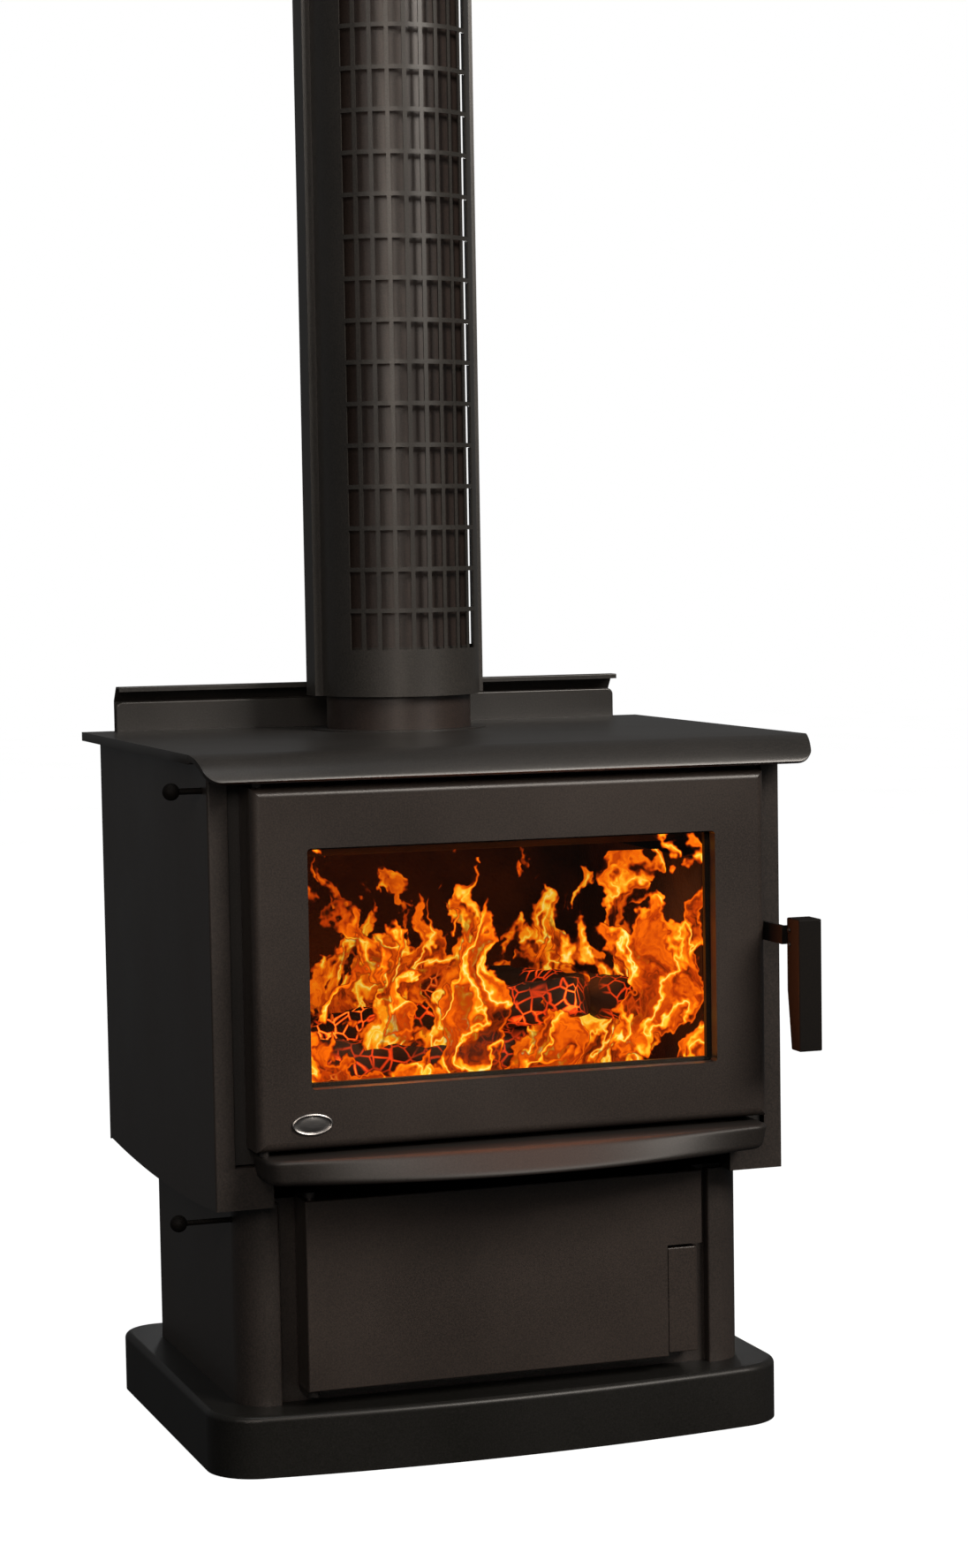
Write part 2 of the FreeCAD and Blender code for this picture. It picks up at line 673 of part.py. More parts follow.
def make_pedestal_side(name, side):
    """Pedestal wall that wraps round its front corner into a column with a folded inner edge."""
    wall = S.pedestal_wall
    end = pedestal_front + S.column_return
    outline = [
        (pedestal_half, pedestal_rear),
        (pedestal_half, pedestal_front),
        (column_edge, pedestal_front),
        (column_edge, end),
        (column_edge + wall, end),
        (column_edge + wall, pedestal_front + wall),
        (pedestal_half - wall, pedestal_front + wall),
        (pedestal_half - wall, pedestal_rear),
    ]
    piece = Sheetwork(f"pedestal_{name}")
    piece.pad("XY_Plane", S.plinth_height, pedestal_top, mirrored(outline, side))

    def outer(way, middle):
        return abs(way.z) > 0.9 and near(abs(middle.x), pedestal_half) and near(middle.y, pedestal_front)

    def inner(way, middle):
        inside = pedestal_half - wall
        return abs(way.z) > 0.9 and near(abs(middle.x), inside) and near(middle.y, pedestal_front + wall)

    def fold(way, middle):
        return abs(way.z) > 0.9 and near(abs(middle.x), column_edge) and near(middle.y, pedestal_front)

    piece.fillet(S.pedestal_corner, outer)
    piece.fillet(S.pedestal_corner - wall, inner)
    piece.fillet(wall * 0.8, fold)
    if side < 0:
        place_hole = (lower_rod_y, lower_rod_z)
        reach = (-pedestal_half - 1, -pedestal_half + wall + 2)
        piece.hole("YZ_Plane", *reach, place_hole, S.lower_rod_radius + S.rod_clearance)
    piece.done()


def make_pedestal_inside():
    """Rear wall, storage floor and storage ceiling."""
    wall = S.pedestal_wall
    inside = pedestal_half - wall
    across = (-inside, inside)
    rear = (pedestal_rear - wall, pedestal_rear)
    finish(box("back", across, rear, (S.plinth_height, pedestal_top)), "pedestal_back")
    front = storage_frame_front + wall
    turn = S.pedestal_corner - S.column_return - wall
    outline = [
        (S.column_return - inside - 2, front),
        (inside - S.column_return + 2, front),
        (inside, front + turn),
        (inside, pedestal_rear - wall),
        (-inside, pedestal_rear - wall),
        (-inside, front + turn),
    ]
    for label, low in (("storage_floor", S.plinth_height), ("storage_ceiling", storage_ceiling)):
        piece = Sheetwork(label)
        piece.pad("XY_Plane", low, low + wall, outline)
        piece.done()


def make_storage_frame():
    """Frame behind the storage door, seen as a strip beside it."""
    wall = S.pedestal_wall
    front, back = storage_frame_front, storage_frame_front + wall
    half = pedestal_half - wall - S.column_return + 2
    piece = Sheetwork("storage_frame")
    piece.pad("XZ_Plane", front, back, rectangle(-half, half, S.plinth_height, pedestal_top))
    low = S.plinth_height + S.storage_rail
    high = storage_ceiling - 1
    piece.pocket("XZ_Plane", front, back, rectangle(6 - storage_half, storage_half - 6, low, high))
    piece.done()


def make_storage_door():
    """Tray door with a corner notch that holds the pull."""
    half, wall = storage_half, S.storage_door_wall
    low, high = storage_door_low, storage_door_high
    face, back = storage_door_face, storage_door_back
    notch_left = half - S.pull_notch_width
    notch_top = low + S.pull_notch_height
    piece = Sheetwork("storage_tray")
    piece.pad("XZ_Plane", face, back, rectangle(-half, half, low, high))
    piece.fillet(1.6, lambda way, middle: near(middle.y, face))
    hollow = [
        (wall - half, low + wall),
        (notch_left - wall, low + wall),
        (notch_left - wall, notch_top + wall),
        (half - wall, notch_top + wall),
        (half - wall, high - wall),
        (wall - half, high - wall),
    ]
    piece.pocket("XZ_Plane", face + wall, back, hollow)
    floor = face + S.pull_notch_depth
    piece.pocket("XZ_Plane", face - 1, floor, rectangle(notch_left, half + 1, low - 1, notch_top))
    behind = rectangle(notch_left, half - wall, low + wall, notch_top)
    piece.pocket("XZ_Plane", floor + wall, back, behind)
    pin_x, pin_y = storage_hinge_axis()
    blocks, drills = [], []
    x = (wall - half, pin_x + 8)
    y = (face + wall, pin_y + 7)
    bore = S.storage_pin_radius + S.hinge_clearance
    deep = S.storage_knuckle
    for name, edge in (("lower", low + wall), ("upper", high - wall - deep)):
        blocks.append(box(f"storage_knuckle_{name}", x, y, (edge, edge + deep)))
        start = (pin_x, pin_y, edge - wall - 1)
        length = deep + 2 * wall + 2
        drills.append(rod(f"storage_drill_{name}", bore, length, start, "z"))
    welded = fuse("storage_door_weld", piece.body, *blocks)
    finish(cut("storage_door_bored", welded, *drills), "storage_door")


def make_storage_pull():
    """Vertical pull with a rounded finger edge, standing on a web in the notch."""
    face = storage_door_face + S.pull_recess
    floor = storage_door_face + S.pull_notch_depth
    left = storage_half - S.pull_notch_width + S.pull_margin - 1.5
    low = storage_door_low + 3
    high = storage_door_low + S.pull_notch_height - S.pull_margin
    web = S.pull_width * 0.4
    outline = [
        (left, face),
        (left + S.pull_width, face),
        (left + S.pull_width, face + S.pull_thick),
        (left + web, face + S.pull_thick),
        (left + web, floor),
        (left, floor),
    ]
    piece = Sheetwork("storage_pull")
    piece.pad("XY_Plane", low, high, outline)

    def finger_edge(way, middle):
        return abs(way.z) > 0.9 and near(middle.x, left + S.pull_width)

    piece.fillet(S.pull_edge, finger_edge)
    piece.fillet(1.2, lambda way, middle: near(middle.y, face) and abs(way.z) < 0.5)
    piece.done()


def make_storage_hinges():
    """Upright pins on arms below and above the storage door."""
    pin_x, pin_y = storage_hinge_axis()
    radius, arm = S.storage_pin_radius, S.storage_arm
    reach = S.storage_knuckle + S.storage_door_wall - 1
    sides = (pin_x - radius - 2, pin_x + radius + 2)
    level = storage_door_low - arm - 2
    strip = box("storage_arm_lower", sides, (pin_y, storage_frame_front), (level, level + arm))
    seat = rod("storage_seat_lower", radius + 2, arm, (pin_x, pin_y, level), "z")
    pin = rod("storage_rod_lower", radius, arm + 2 + reach, (pin_x, pin_y, level), "z")
    finish(fuse("storage_weld_lower", strip, seat, pin), "storage_pin_lower")
    level = storage_door_high + 2
    behind = storage_frame_front + 2 * arm
    strip = box("storage_arm_upper", sides, (pin_y, behind), (level, level + arm))
    post = box("storage_post", sides, (behind - 2 * arm, behind), (pedestal_top + S.casing_wall, level + arm))
    seat = rod("storage_seat_upper", radius + 2, arm, (pin_x, pin_y, level), "z")
    pin = rod("storage_rod_upper", radius, arm + 2 + reach, (pin_x, pin_y, level - 2 - reach), "z")
    finish(fuse("storage_weld_upper", strip, post, seat, pin), "storage_pin_upper")


def storage_hinge_axis():
    """Where the storage door turns, in plan."""
    return S.storage_pin_inset - storage_half, storage_door_face + S.storage_pin_behind


# ---------------------------------------------------------------- casing and top

def make_casing_side(name, side):
    """Side casing: a drooping side panel folded into a front strip and a foot."""
    wall = S.casing_wall
    half = casing_half
    rear = casing_rear - wall
    length = (rear - casing_front) / 2
    side_outline = [(casing_front, casing_low), (rear, casing_low), (rear, top_underside), (casing_front, top_underside)]
    piece = Sheetwork(f"casing_{name}")
    droop = {0: (bow_radius(length, S.casing_bow), 1)}
    piece.pad("YZ_Plane", *span(half - wall, half, side), side_outline, droop)
    front = [
        (half - wall, casing_low),
        (half - wall, top_underside),
        (half - S.front_strip, top_underside),
        (half - S.front_strip, foot_top),
        (foot_edge, foot_top),
        (foot_edge, casing_low),
    ]
    piece.pad("XZ_Plane", casing_front, casing_front + wall, mirrored(front, side))
    foot_end = pedestal_front - S.foot_gap
    depth = (casing_front + wall, foot_end)
    cheek = rectangle(foot_edge, foot_edge + wall, casing_low, foot_top)
    piece.pad("XZ_Plane", *depth, mirrored(cheek, side))
    lid = rectangle(foot_edge + wall, half - wall, foot_top - wall, foot_top)
    piece.pad("XZ_Plane", *depth, mirrored(lid, side))

    def fold(way, middle):
        return abs(way.z) > 0.9 and near(abs(middle.x), half) and near(middle.y, casing_front)

    def rear_corner(way, middle):
        return abs(way.x) > 0.9 and near(middle.y, rear) and near(middle.z, casing_low, 0.5)

    piece.fillet(S.casing_fold, fold)
    piece.fillet(S.casing_rear_round, rear_corner)
    if side < 0:
        reach = (-half - 1, -half + wall + 1)
        piece.hole("YZ_Plane", *reach, (upper_rod_y, upper_rod_z), S.upper_rod_radius + S.rod_clearance)
    piece.done()


def make_casing_back():
    """Rear panel and the plate that closes the casing below the firebox."""
    wall = S.casing_wall
    inside = casing_half - wall
    rear = (casing_rear - wall, casing_rear)
    finish(box("rear", (-casing_half, casing_half), rear, (pedestal_top, top_underside)), "casing_back")
    depth = (storage_frame_front, casing_rear - wall)
    height = (pedestal_top, pedestal_top + wall)
    finish(box("base", (-inside, inside), depth, height), "casing_base")


def make_top_plate():
    """Cooking plate with a sloping lip that ends in a rolled edge."""
    crease = casing_front - S.lip_start
    nose = crease - S.lip_reach
    rear = casing_rear - S.top_rear_inset
    half = casing_half + S.top_overhang
    slope_low = top_surface - S.lip_slope_drop
    under = top_surface - S.lip_drop
    profile = [
        (rear, top_underside),
        (rear, top_surface),
        (crease, top_surface),
        (nose, slope_low),
        (nose, under),
        (nose + 2 * S.lip_nose + 1, under),
        (nose + 2 * S.lip_nose + 4, slope_low - S.lip_nose + 2),
        (crease + 4, top_underside),
    ]
    piece = Sheetwork("top_plate")
    piece.pad("YZ_Plane", -half, half, profile)

    def along(level_y, level_z):
        return lambda way, middle: abs(way.x) > 0.9 and near(middle.y, level_y) and near(middle.z, level_z)

    piece.fillet(S.lip_bend, along(crease, top_surface))
    piece.fillet(S.lip_nose, along(nose, slope_low))
    piece.fillet(S.lip_nose * 0.95, along(nose, under))
    for side in (-1, 1):
        corner = [
            (half, crease),
            (half + 1, crease),
            (half + 1, nose - 1),
            (half - S.lip_taper, nose - 1),
        ]
        piece.pocket("XY_Plane", under - 1, top_surface + 1, mirrored(corner, side))
    hole = S.flue_radius + S.flue_clearance
    piece.hole("XY_Plane", top_underside, top_surface, (0, flue_y), hole)
    piece.done()


def make_rear_upstand():
    """Low panel behind the cooking plate with a rolled top edge."""
    half = casing_half - S.upstand_inset
    face = casing_rear - S.upstand_ahead
    high = top_surface + S.upstand_height
    sheet_thick = S.upstand_sheet
    piece = Sheetwork("rear_upstand")
    profile = [
        (face, top_surface),
        (face + sheet_thick, top_surface),
        (face + sheet_thick, high - sheet_thick),
        (face + S.upstand_roll + sheet_thick, high - sheet_thick),
        (face + S.upstand_roll + sheet_thick, high),
        (face, high),
    ]
    piece.pad("YZ_Plane", -half, half, profile)
    piece.fillet(S.upstand_corner, lambda way, m: abs(way.y) > 0.9 and near(abs(m.x), half) and near(m.z, high))
    piece.fillet(1.8, lambda way, middle: near(middle.y, face) and middle.z > top_surface.value + 1)
    piece.done()


def make_rear_deflector():
    """Rear sheet that leans forward to a flange with a small lip over the upstand."""
    half = casing_half - S.upstand_inset - 1
    back = casing_rear - S.deflector_ahead
    knee = top_surface + S.deflector_knee
    high = top_surface + S.deflector_height
    t = S.upstand_sheet
    lean = back - S.deflector_lean
    lip = lean - S.deflector_flange + S.deflector_lean
    profile = [
        (back - t, top_surface),
        (back, top_surface),
        (back, knee),
        (lean, high),
        (lip, high),
        (lip, high - S.deflector_lip),
        (lip + t, high - S.deflector_lip),
        (lip + t, high - t),
        (lean - t / 2, high - t),
        (back - t, knee - t / 2),
    ]
    piece = Sheetwork("rear_deflector")
    piece.pad("YZ_Plane", -half, half, profile)
    piece.fillet(1, lambda way, middle: abs(way.x) > 0.9 and near(middle.y, lip) and near(middle.z, high))
    piece.done()


# ---------------------------------------------------------------- firebox

def make_front_frame():
    """Heavy front frame that the door closes against, with the firebox mouth."""
    piece = Sheetwork("front_frame")
    piece.pad("XZ_Plane", frame_face, frame_back, rectangle(-frame_half, frame_half, frame_low, frame_high))
    piece.pocket("XZ_Plane", frame_face, frame_back, rectangle(-mouth_half, mouth_half, mouth_low, mouth_high))

    def mouth_corner(way, middle):
        return abs(way.y) > 0.9 and near(abs(middle.x), mouth_half)

    piece.fillet(12, mouth_corner)
    piece.done()


def make_firebox():
    """Firebox walls of steel plate, welded edge to edge behind the front frame."""
    plate = S.firebox_plate
    inside = firebox_half - plate
    depth = (frame_back, firebox_back)
    tall = (floor_top, firebox_top - plate)
    full = (-firebox_half, firebox_half)
    finish(box("fb_floor", full, depth, (firebox_low, floor_top)), "firebox_floor")
    finish(box("fb_left", span(inside, firebox_half, -1), depth, tall), "firebox_left")
    finish(box("fb_right", span(inside, firebox_half, 1), depth, tall), "firebox_right")
    finish(box("fb_back", (-inside, inside), (firebox_back - plate, firebox_back), tall), "firebox_back")
    roof = box("fb_roof", full, depth, (firebox_top - plate, firebox_top))
    opening = rod("fb_outlet", S.flue_radius - 2, plate * 2, (0, flue_y, firebox_top - plate * 1.5), "z")
    finish(cut("fb_roof_open", roof, opening), "firebox_top")


def make_bricks():
    """Firebrick lining: a base, two sides and a back."""
    plate, thick, joint = S.firebox_plate, S.brick_thick, S.brick_joint
    inside = firebox_half - plate
    front = frame_back + S.log_guard_thick + 14
    back = firebox_back - plate
    base_top = floor_top + thick
    rise = (base_top + joint, base_top + S.brick_height)
    finish(box("bk_base", (-inside, inside), (front, back), (floor_top, base_top)), "brick_base")
    for name, side in SIDES:
        across = span(inside - thick, inside, side)
        finish(box(f"bk_{name}", across, (front, back), rise), f"brick_{name}")
    across = (thick + joint - inside, inside - thick - joint)
    finish(box("bk_back", across, (back - thick, back), rise), "brick_back")


def make_air_parts():
    """Baffle, secondary air tube, airwash duct and log guard."""
    plate = S.firebox_plate
    inside = firebox_half - plate
    baffle_low = firebox_top - S.baffle_drop
    tube_z = baffle_low - S.air_tube_drop
    baffle_front = frame_back + S.baffle_setback
    across = (-inside, inside)
    levels = (baffle_low, baffle_low + S.baffle_thick)
    finish(box("bf", across, (baffle_front, firebox_back - plate), levels), "baffle")
    start = (-inside, baffle_front + 2 * S.air_tube_radius, tube_z)
    finish(rod("tube", S.air_tube_radius, 2 * inside, start, "x"), "air_tube")
    wide = mouth_half - 10
    deep = (frame_back, frame_back + S.airwash_depth)
    high = mouth_high + S.airwash_height
    finish(box("aw", (-wide, wide), deep, (mouth_high, high)), "airwash_duct")
    guard = (frame_back + 6, frame_back + 6 + S.log_guard_thick)
    guard_top = floor_top + S.brick_thick + S.log_guard_height
    finish(box("lg", (2 - inside, inside - 2), guard, (floor_top, guard_top)), "log_guard")


# ---------------------------------------------------------------- flue and flue shield

def make_tube(label, outer, inner, low, high):
    """A round tube about the flue's axis."""
    solid = rod(f"{label}_outside", outer, high - low, (0, flue_y, low), "z")
    core = rod(f"{label}_inside", inner, high - low + 2, (0, flue_y, low - 1), "z")
    return finish(cut(f"{label}_tube", solid, core), label)


def make_flue():
    """Flue collar on the firebox, flue pipe and the trim ring round it."""
    pipe_low = top_surface - S.flue_socket
    running = S.flue_radius + S.flue_clearance
    make_tube("flue_collar", running + S.flue_collar_wall, running, firebox_top, top_underside)
    make_tube("flue_pipe", S.flue_radius, S.flue_radius - S.flue_wall, pipe_low, top_surface + S.flue_length)
    ring_top = top_surface + S.flue_ring_thick
    make_tube("flue_ring", S.flue_ring_radius, running, top_surface, ring_top)


def shield_outline():
    """The flue shield in plan: a half round between flanges with folded sides."""
    sheet_thick, outer, half = S.shield_sheet, S.shield_radius, S.shield_half
    inner = outer - sheet_thick
    back = flange_y + S.shield_return
    points = [
        (-outer, flange_y),
        (0, flange_y - outer),
        (outer, flange_y),
        (half, flange_y),
        (half, back),
        (half - sheet_thick, back),
        (half - sheet_thick, flange_y + sheet_thick),
        (inner, flange_y + sheet_thick),
        (inner, flange_y),
        (0, flange_y - inner),
        (-inner, flange_y),
        (-inner, flange_y + sheet_thick),
        (sheet_thick - half, flange_y + sheet_thick),
        (sheet_thick - half, back),
        (-half, back),
        (-half, flange_y),
    ]
    return points, {0: (outer, 1), 1: (outer, 1), 8: (inner, -1), 9: (inner, -1)}


def slot_cutter(angle, level):
    """A wedge that opens one perforation, given its bearing and its lower edge."""
    half_angle = math.radians(S.slot_width_deg.value / 2)
    near_r, far_r = S.shield_radius.value - 6, S.shield_radius.value + 4
    corners = []
    for radius, swing in ((near_r, -1), (far_r, -1), (far_r, 1), (near_r, 1)):
        bearing = angle + swing * half_angle
        corners.append(Vector(radius * math.sin(bearing), flange_y.value - radius * math.cos(bearing), level))
    face = Part.Face(Part.makePolygon(corners + corners[:1]))
    return face.extrude(Vector(0, 0, S.slot_height.value))


def make_shield():
    """Perforated flue shield: nine columns of tall slots round its half-round front."""
    piece = Sheetwork("flue_shield_sheet")
    piece.pad("XY_Plane", shield_low, shield_low + S.shield_length, *shield_outline())
    columns, rows = int(S.slot_columns.value), int(S.slot_rows.value)
    pitch = math.radians(S.slot_pitch_deg.value)
    wedges = []
    for column in range(columns):
        angle = (column - (columns - 1) / 2) * pitch
        for row in range(rows):
            level = (shield_low + S.slot_start + row * S.slot_pitch).value
            wedges.append(slot_cutter(angle, level))
    tools = doc.addObject("Part::Feature", "slot_cutters")
    tools.Shape = Part.makeCompound(wedges)
    finish(cut("flue_shield_cut", piece.body, tools), "flue_shield")


def make_shield_bands():
    """Clamp bands that hold the shield off the flue pipe."""
    inner = S.flue_radius
    outer = inner + S.band_sheet
    ear_out = S.shield_half - S.shield_sheet
    shield_high = shield_low + S.shield_length
    lows = (shield_low + S.band_end, shield_high - S.band_end - S.band_height)
    for number, low in enumerate(lows, start=1):
        start = (0, flue_y, low)
        hoop = rod(f"hoop_{number}", outer, S.band_height, start, "z")
        bore = rod(f"bore_{number}", inner, S.band_height + 2, (0, flue_y, low - 1), "z")
        level = (low, low + S.band_height)
        deep = (flue_y + 2, flue_y + 2 + S.band_ear_depth)
        ears = [box(f"ear_{name}_{number}", span(inner, ear_out, side), deep, level) for name, side in SIDES]
        band = fuse(f"band_weld_{number}", hoop, *ears)
        finish(cut(f"band_bored_{number}", band, bore), f"shield_band_{number}")


# ---------------------------------------------------------------- ash shelf

def shelf_outline(half, reach, bow):
    """The shelf in plan at one level: a straight back, round corners and a bowed front."""
    front = frame_face - reach
    corner = S.shelf_corner
    flat = half - corner
    points = [
        (-flat, front),
        (flat, front),
        (half, front + corner),
        (half, casing_front),
        (-half, casing_front),
        (-half, front + corner),
    ]
    return points, {0: (bow_radius(flat, bow), 1), 1: (corner, 1), 5: (corner, 1)}


def loft_shelf(label, sections):
    """A block lofted through outlines given as level, half width, reach and bow."""
    piece = Sheetwork(label)
    sketches = []
    for level, half, reach, bow in sections:
        sketches.append(piece.sketch("XY_Plane", level, *shelf_outline(half, reach, bow)))
    loft = piece.body.newObject("PartDesign::AdditiveLoft", f"{label}_loft")
    loft.Profile = sketches[0]
    loft.Sections = sketches[1:]
    loft.Ruled = True
    doc.recompute()
    return piece


def make_shelf():
    """Ash shelf: a bowed apron that leans out from its upper edge to its rolled lower edge."""
    low = shelf_top - S.shelf_height
    half_low = shelf_half - S.shelf_low_inset
    turn = S.shelf_round
    outside = loft_shelf("ash_shelf_outside", [
        (low, half_low - turn * 0.6, S.shelf_low_reach - turn * 0.6, S.shelf_low_bow),
        (low + turn, half_low, S.shelf_low_reach, S.shelf_low_bow),
        (shelf_top, shelf_half, S.shelf_top_reach, S.shelf_top_bow),
    ])
    wall = 2 * S.shelf_wall
    inside = loft_shelf("ash_shelf_inside", [
        (low - 1, half_low - wall, S.shelf_low_reach - wall, S.shelf_low_bow),
        (shelf_top - S.shelf_wall, shelf_half - wall, S.shelf_top_reach - wall, S.shelf_top_bow),
    ])
    folded = cut("ash_shelf_folded", outside.body, inside.body)
    reach = foot_edge - 2
    tongue = box("ash_shelf_tongue", (-reach, reach), (casing_front, frame_face), (low, shelf_top))
    finish(fuse("ash_shelf_weld", folded, tongue), "ash_shelf")


# ---------------------------------------------------------------- door

def make_door_frame():
    """Door: a plate folded back at its edges, rolled round the outside, with a window flange."""
    wall = S.door_wall
    piece = Sheetwork("door_sheet")
    piece.pad("XZ_Plane", door_face, door_back, rectangle(-door_half, door_half, door_low, door_high))
    piece.fillet(S.door_edge, lambda way, middle: near(middle.y, door_face))
    hollow = rectangle(wall - door_half, door_half - wall, door_low + wall, door_high - wall)
    piece.pocket("XZ_Plane", tape_front, door_back, hollow)
    flange = S.reveal_wall
    clear = (wall + 3, wall + 3)
    frame = rectangle(clear[0] - door_half, door_half - clear[0], door_low + clear[1], door_high - clear[1])
    rails = [
        rectangle(frame[0][0], frame[1][0], frame[0][1], window_low - S.glass_lap - flange),
        rectangle(frame[0][0], frame[1][0], window_high + S.glass_lap + flange, frame[2][1]),
    ]
    for rail in rails:
        piece.pocket("XZ_Plane", door_face + wall, tape_front, rail)
    reach = window_half + S.glass_lap + flange
    for side in (-1, 1):
        stile = rectangle(reach, door_half - wall - 3, window_low - S.glass_lap, window_high + S.glass_lap)
        piece.pocket("XZ_Plane", door_face + wall, tape_front, mirrored(stile, side))
    window = rectangle(-window_half, window_half, window_low, window_high)
    piece.pocket("XZ_Plane", door_face - 1, door_back + 1, window)
    piece.fillet(S.window_corner, lambda way, m: abs(way.y) > 0.9 and near(abs(m.x), window_half))
    bore = S.hinge_radius + 1
    piece.hole("XY_Plane", door_low - 1, door_low + wall + 1, (hinge_x, hinge_y), bore)
    piece.hole("XY_Plane", door_high - wall - 1, door_high + 1, (hinge_x, hinge_y), bore)
    reach = (door_half - wall - 1, door_half + 1)
    piece.hole("YZ_Plane", *reach, (latch_y, latch_z), S.latch_shaft_radius + S.latch_clearance)
    boss, tall = S.hinge_boss, S.hinge_boss_height
    x = (wall - door_half, hinge_x + boss)
    y = (door_face + wall, hinge_y + boss)
    blocks, drills = [], []
    for name, low in (("lower", door_low + wall), ("upper", door_high - wall - tall)):
        blocks.append(box(f"boss_{name}", x, y, (low, low + tall)))
        start = (hinge_x, hinge_y, low - 1)
        drills.append(rod(f"boss_drill_{name}", S.hinge_radius + S.hinge_clearance, tall + 2, start, "z"))
    welded = fuse("door_weld", piece.body, *blocks)
    finish(cut("door_bored", welded, *drills), "door_frame")


def make_glazing():
    """Glass tape, ceramic glass and the retainer frame behind it."""
    low, high = window_low - S.glass_lap, window_high + S.glass_lap
    half = window_half + S.glass_lap
    ring("glass_tape", half, low, high, tape_front, glass_front, S.glass_lap - 1).done()
    finish(box("pane", (-half, half), (glass_front, glass_back), (low, high)), "door_glass")
    lap = S.retainer_lap
    outer = window_half - lap + S.retainer_band
    outer_low = window_low + lap - S.retainer_band
    outer_high = window_high - lap + S.retainer_band
    back = glass_back + S.retainer_thick
    piece = ring("glass_retainer", outer, outer_low, outer_high, glass_back, back, S.retainer_band)
    piece.done()


def make_rope():
    """Rope seal round the back of the door."""
    size = S.rope_size
    half = door_half - S.rope_inset + size / 2
    low = door_low + S.rope_inset - size / 2
    high = door_high - S.rope_inset + size / 2
    front = frame_face - S.rope_compression - size
    back = frame_face - S.rope_compression
    piece = ring("door_rope", half, low, high, front, back, size)
    piece.fillet(3, lambda way, middle: near(middle.y, back))
    piece.done()


def make_badge():
    """Plain oval badge with a raised rim."""
    x, z = S.badge_side - door_half, door_low + S.badge_lift
    outer = oval("badge_oval", x, z, 0, S.badge_thick)
    dish = oval("badge_dish", x, z, S.badge_rim, S.badge_thick * 0.3)
    dish_front = door_face - S.badge_thick
    place(dish, x, dish_front + S.badge_thick * 0.3, z, ALONG["y"].multiply(Rotation(Vector(1, 0, 0), 180)))
    finish(cut("badge_body", outer, dish), "badge")


def oval(name, x, z, inset, thick):
    """An elliptical disc standing on the door's face."""
    plate = doc.addObject("Part::Ellipse", f"{name}_edge")
    bind(plate, "MajorRadius", S.badge_width / 2 - inset)
    bind(plate, "MinorRadius", S.badge_height / 2 - inset)
    disc = doc.addObject("Part::Extrusion", name)
    disc.Base = plate
    disc.DirMode = "Custom"
    disc.Dir = Vector(0, 0, 1)
    bind(disc, "LengthFwd", thick)
    disc.Solid = True
    place(disc, x, door_face, z, Rotation(Vector(1, 0, 0), 90))
    return disc


def make_door_hinges():
    """The pin that stands on the shelf and the pin under its lug on the front frame."""
    boss, tall, wall = S.hinge_boss, S.hinge_boss_height, S.door_wall
    pin_length = S.shelf_drop + wall + tall - 2
    lower = rod("pin_lower", S.hinge_radius, pin_length, (hinge_x, hinge_y, shelf_top), "z")
    finish(lower, "hinge_pin_lower")
    lug_low = door_high + S.shelf_drop
    lug = box("lug", (hinge_x - boss, hinge_x + boss), (hinge_y, frame_face), (lug_low, lug_low + S.hinge_lug))
    nose = rod("lug_nose", boss, S.hinge_lug, (hinge_x, hinge_y, lug_low), "z")
    pin_low = door_high - wall - tall + 2
    pin = rod("pin_upper", S.hinge_radius, lug_low - pin_low + 1, (hinge_x, hinge_y, pin_low), "z")
    finish(fuse("lug_weld", lug, nose, pin), "hinge_lug_upper")


# ---------------------------------------------------------------- latch

def make_latch():
    """Latch shaft with its arm, cam and catch."""
    arm_left = door_half + S.latch_arm_gap
    arm_right = arm_left + S.latch_arm_thick
    level = (latch_z - S.latch_arm_height / 2, latch_z + S.latch_arm_height / 2)
    tab_front = grip_rear
    bar = box("arm_bar", (arm_left, arm_right), (tab_front, latch_y), level)
    eye = rod("arm_eye", S.latch_arm_height / 2, S.latch_arm_thick, (arm_left, latch_y, latch_z), "x")
    tab = box("arm_tab", (arm_left, grip_left + 16), (tab_front, tab_front + S.latch_arm_thick), level)
    finish(fuse("arm_weld", bar, eye, tab), "latch_arm")
    shaft_in = door_half - S.door_wall - 26
    shaft = rod("shaft", S.latch_shaft_radius, arm_left - shaft_in, (shaft_in, latch_y, latch_z), "x")
    finish(shaft, "latch_shaft")
    cam_x = (shaft_in + 2, shaft_in + 2 + S.cam_thick)
    cam_top = latch_z + 4
    cam_end = latch_y + S.cam_reach
    nose = box("cam_nose", cam_x, (latch_y, cam_end), (latch_z - 9, cam_top))
    hub = rod("cam_hub", 11, S.cam_thick, (cam_x[0], latch_y, latch_z), "x")
    hole = rod("cam_hole", S.latch_shaft_radius, 20, (shaft_in - 5, latch_y, latch_z), "x")
    finish(cut("cam_bored", fuse("cam_weld", nose, hub), hole), "latch_cam")
    catch_low = cam_top + S.catch_clearance
    catch_x = (cam_x[0] - 6, cam_x[1] - 1)
    finish(box("catch", catch_x, (frame_face - 9, frame_face), (catch_low, catch_low + 12)), "latch_catch")


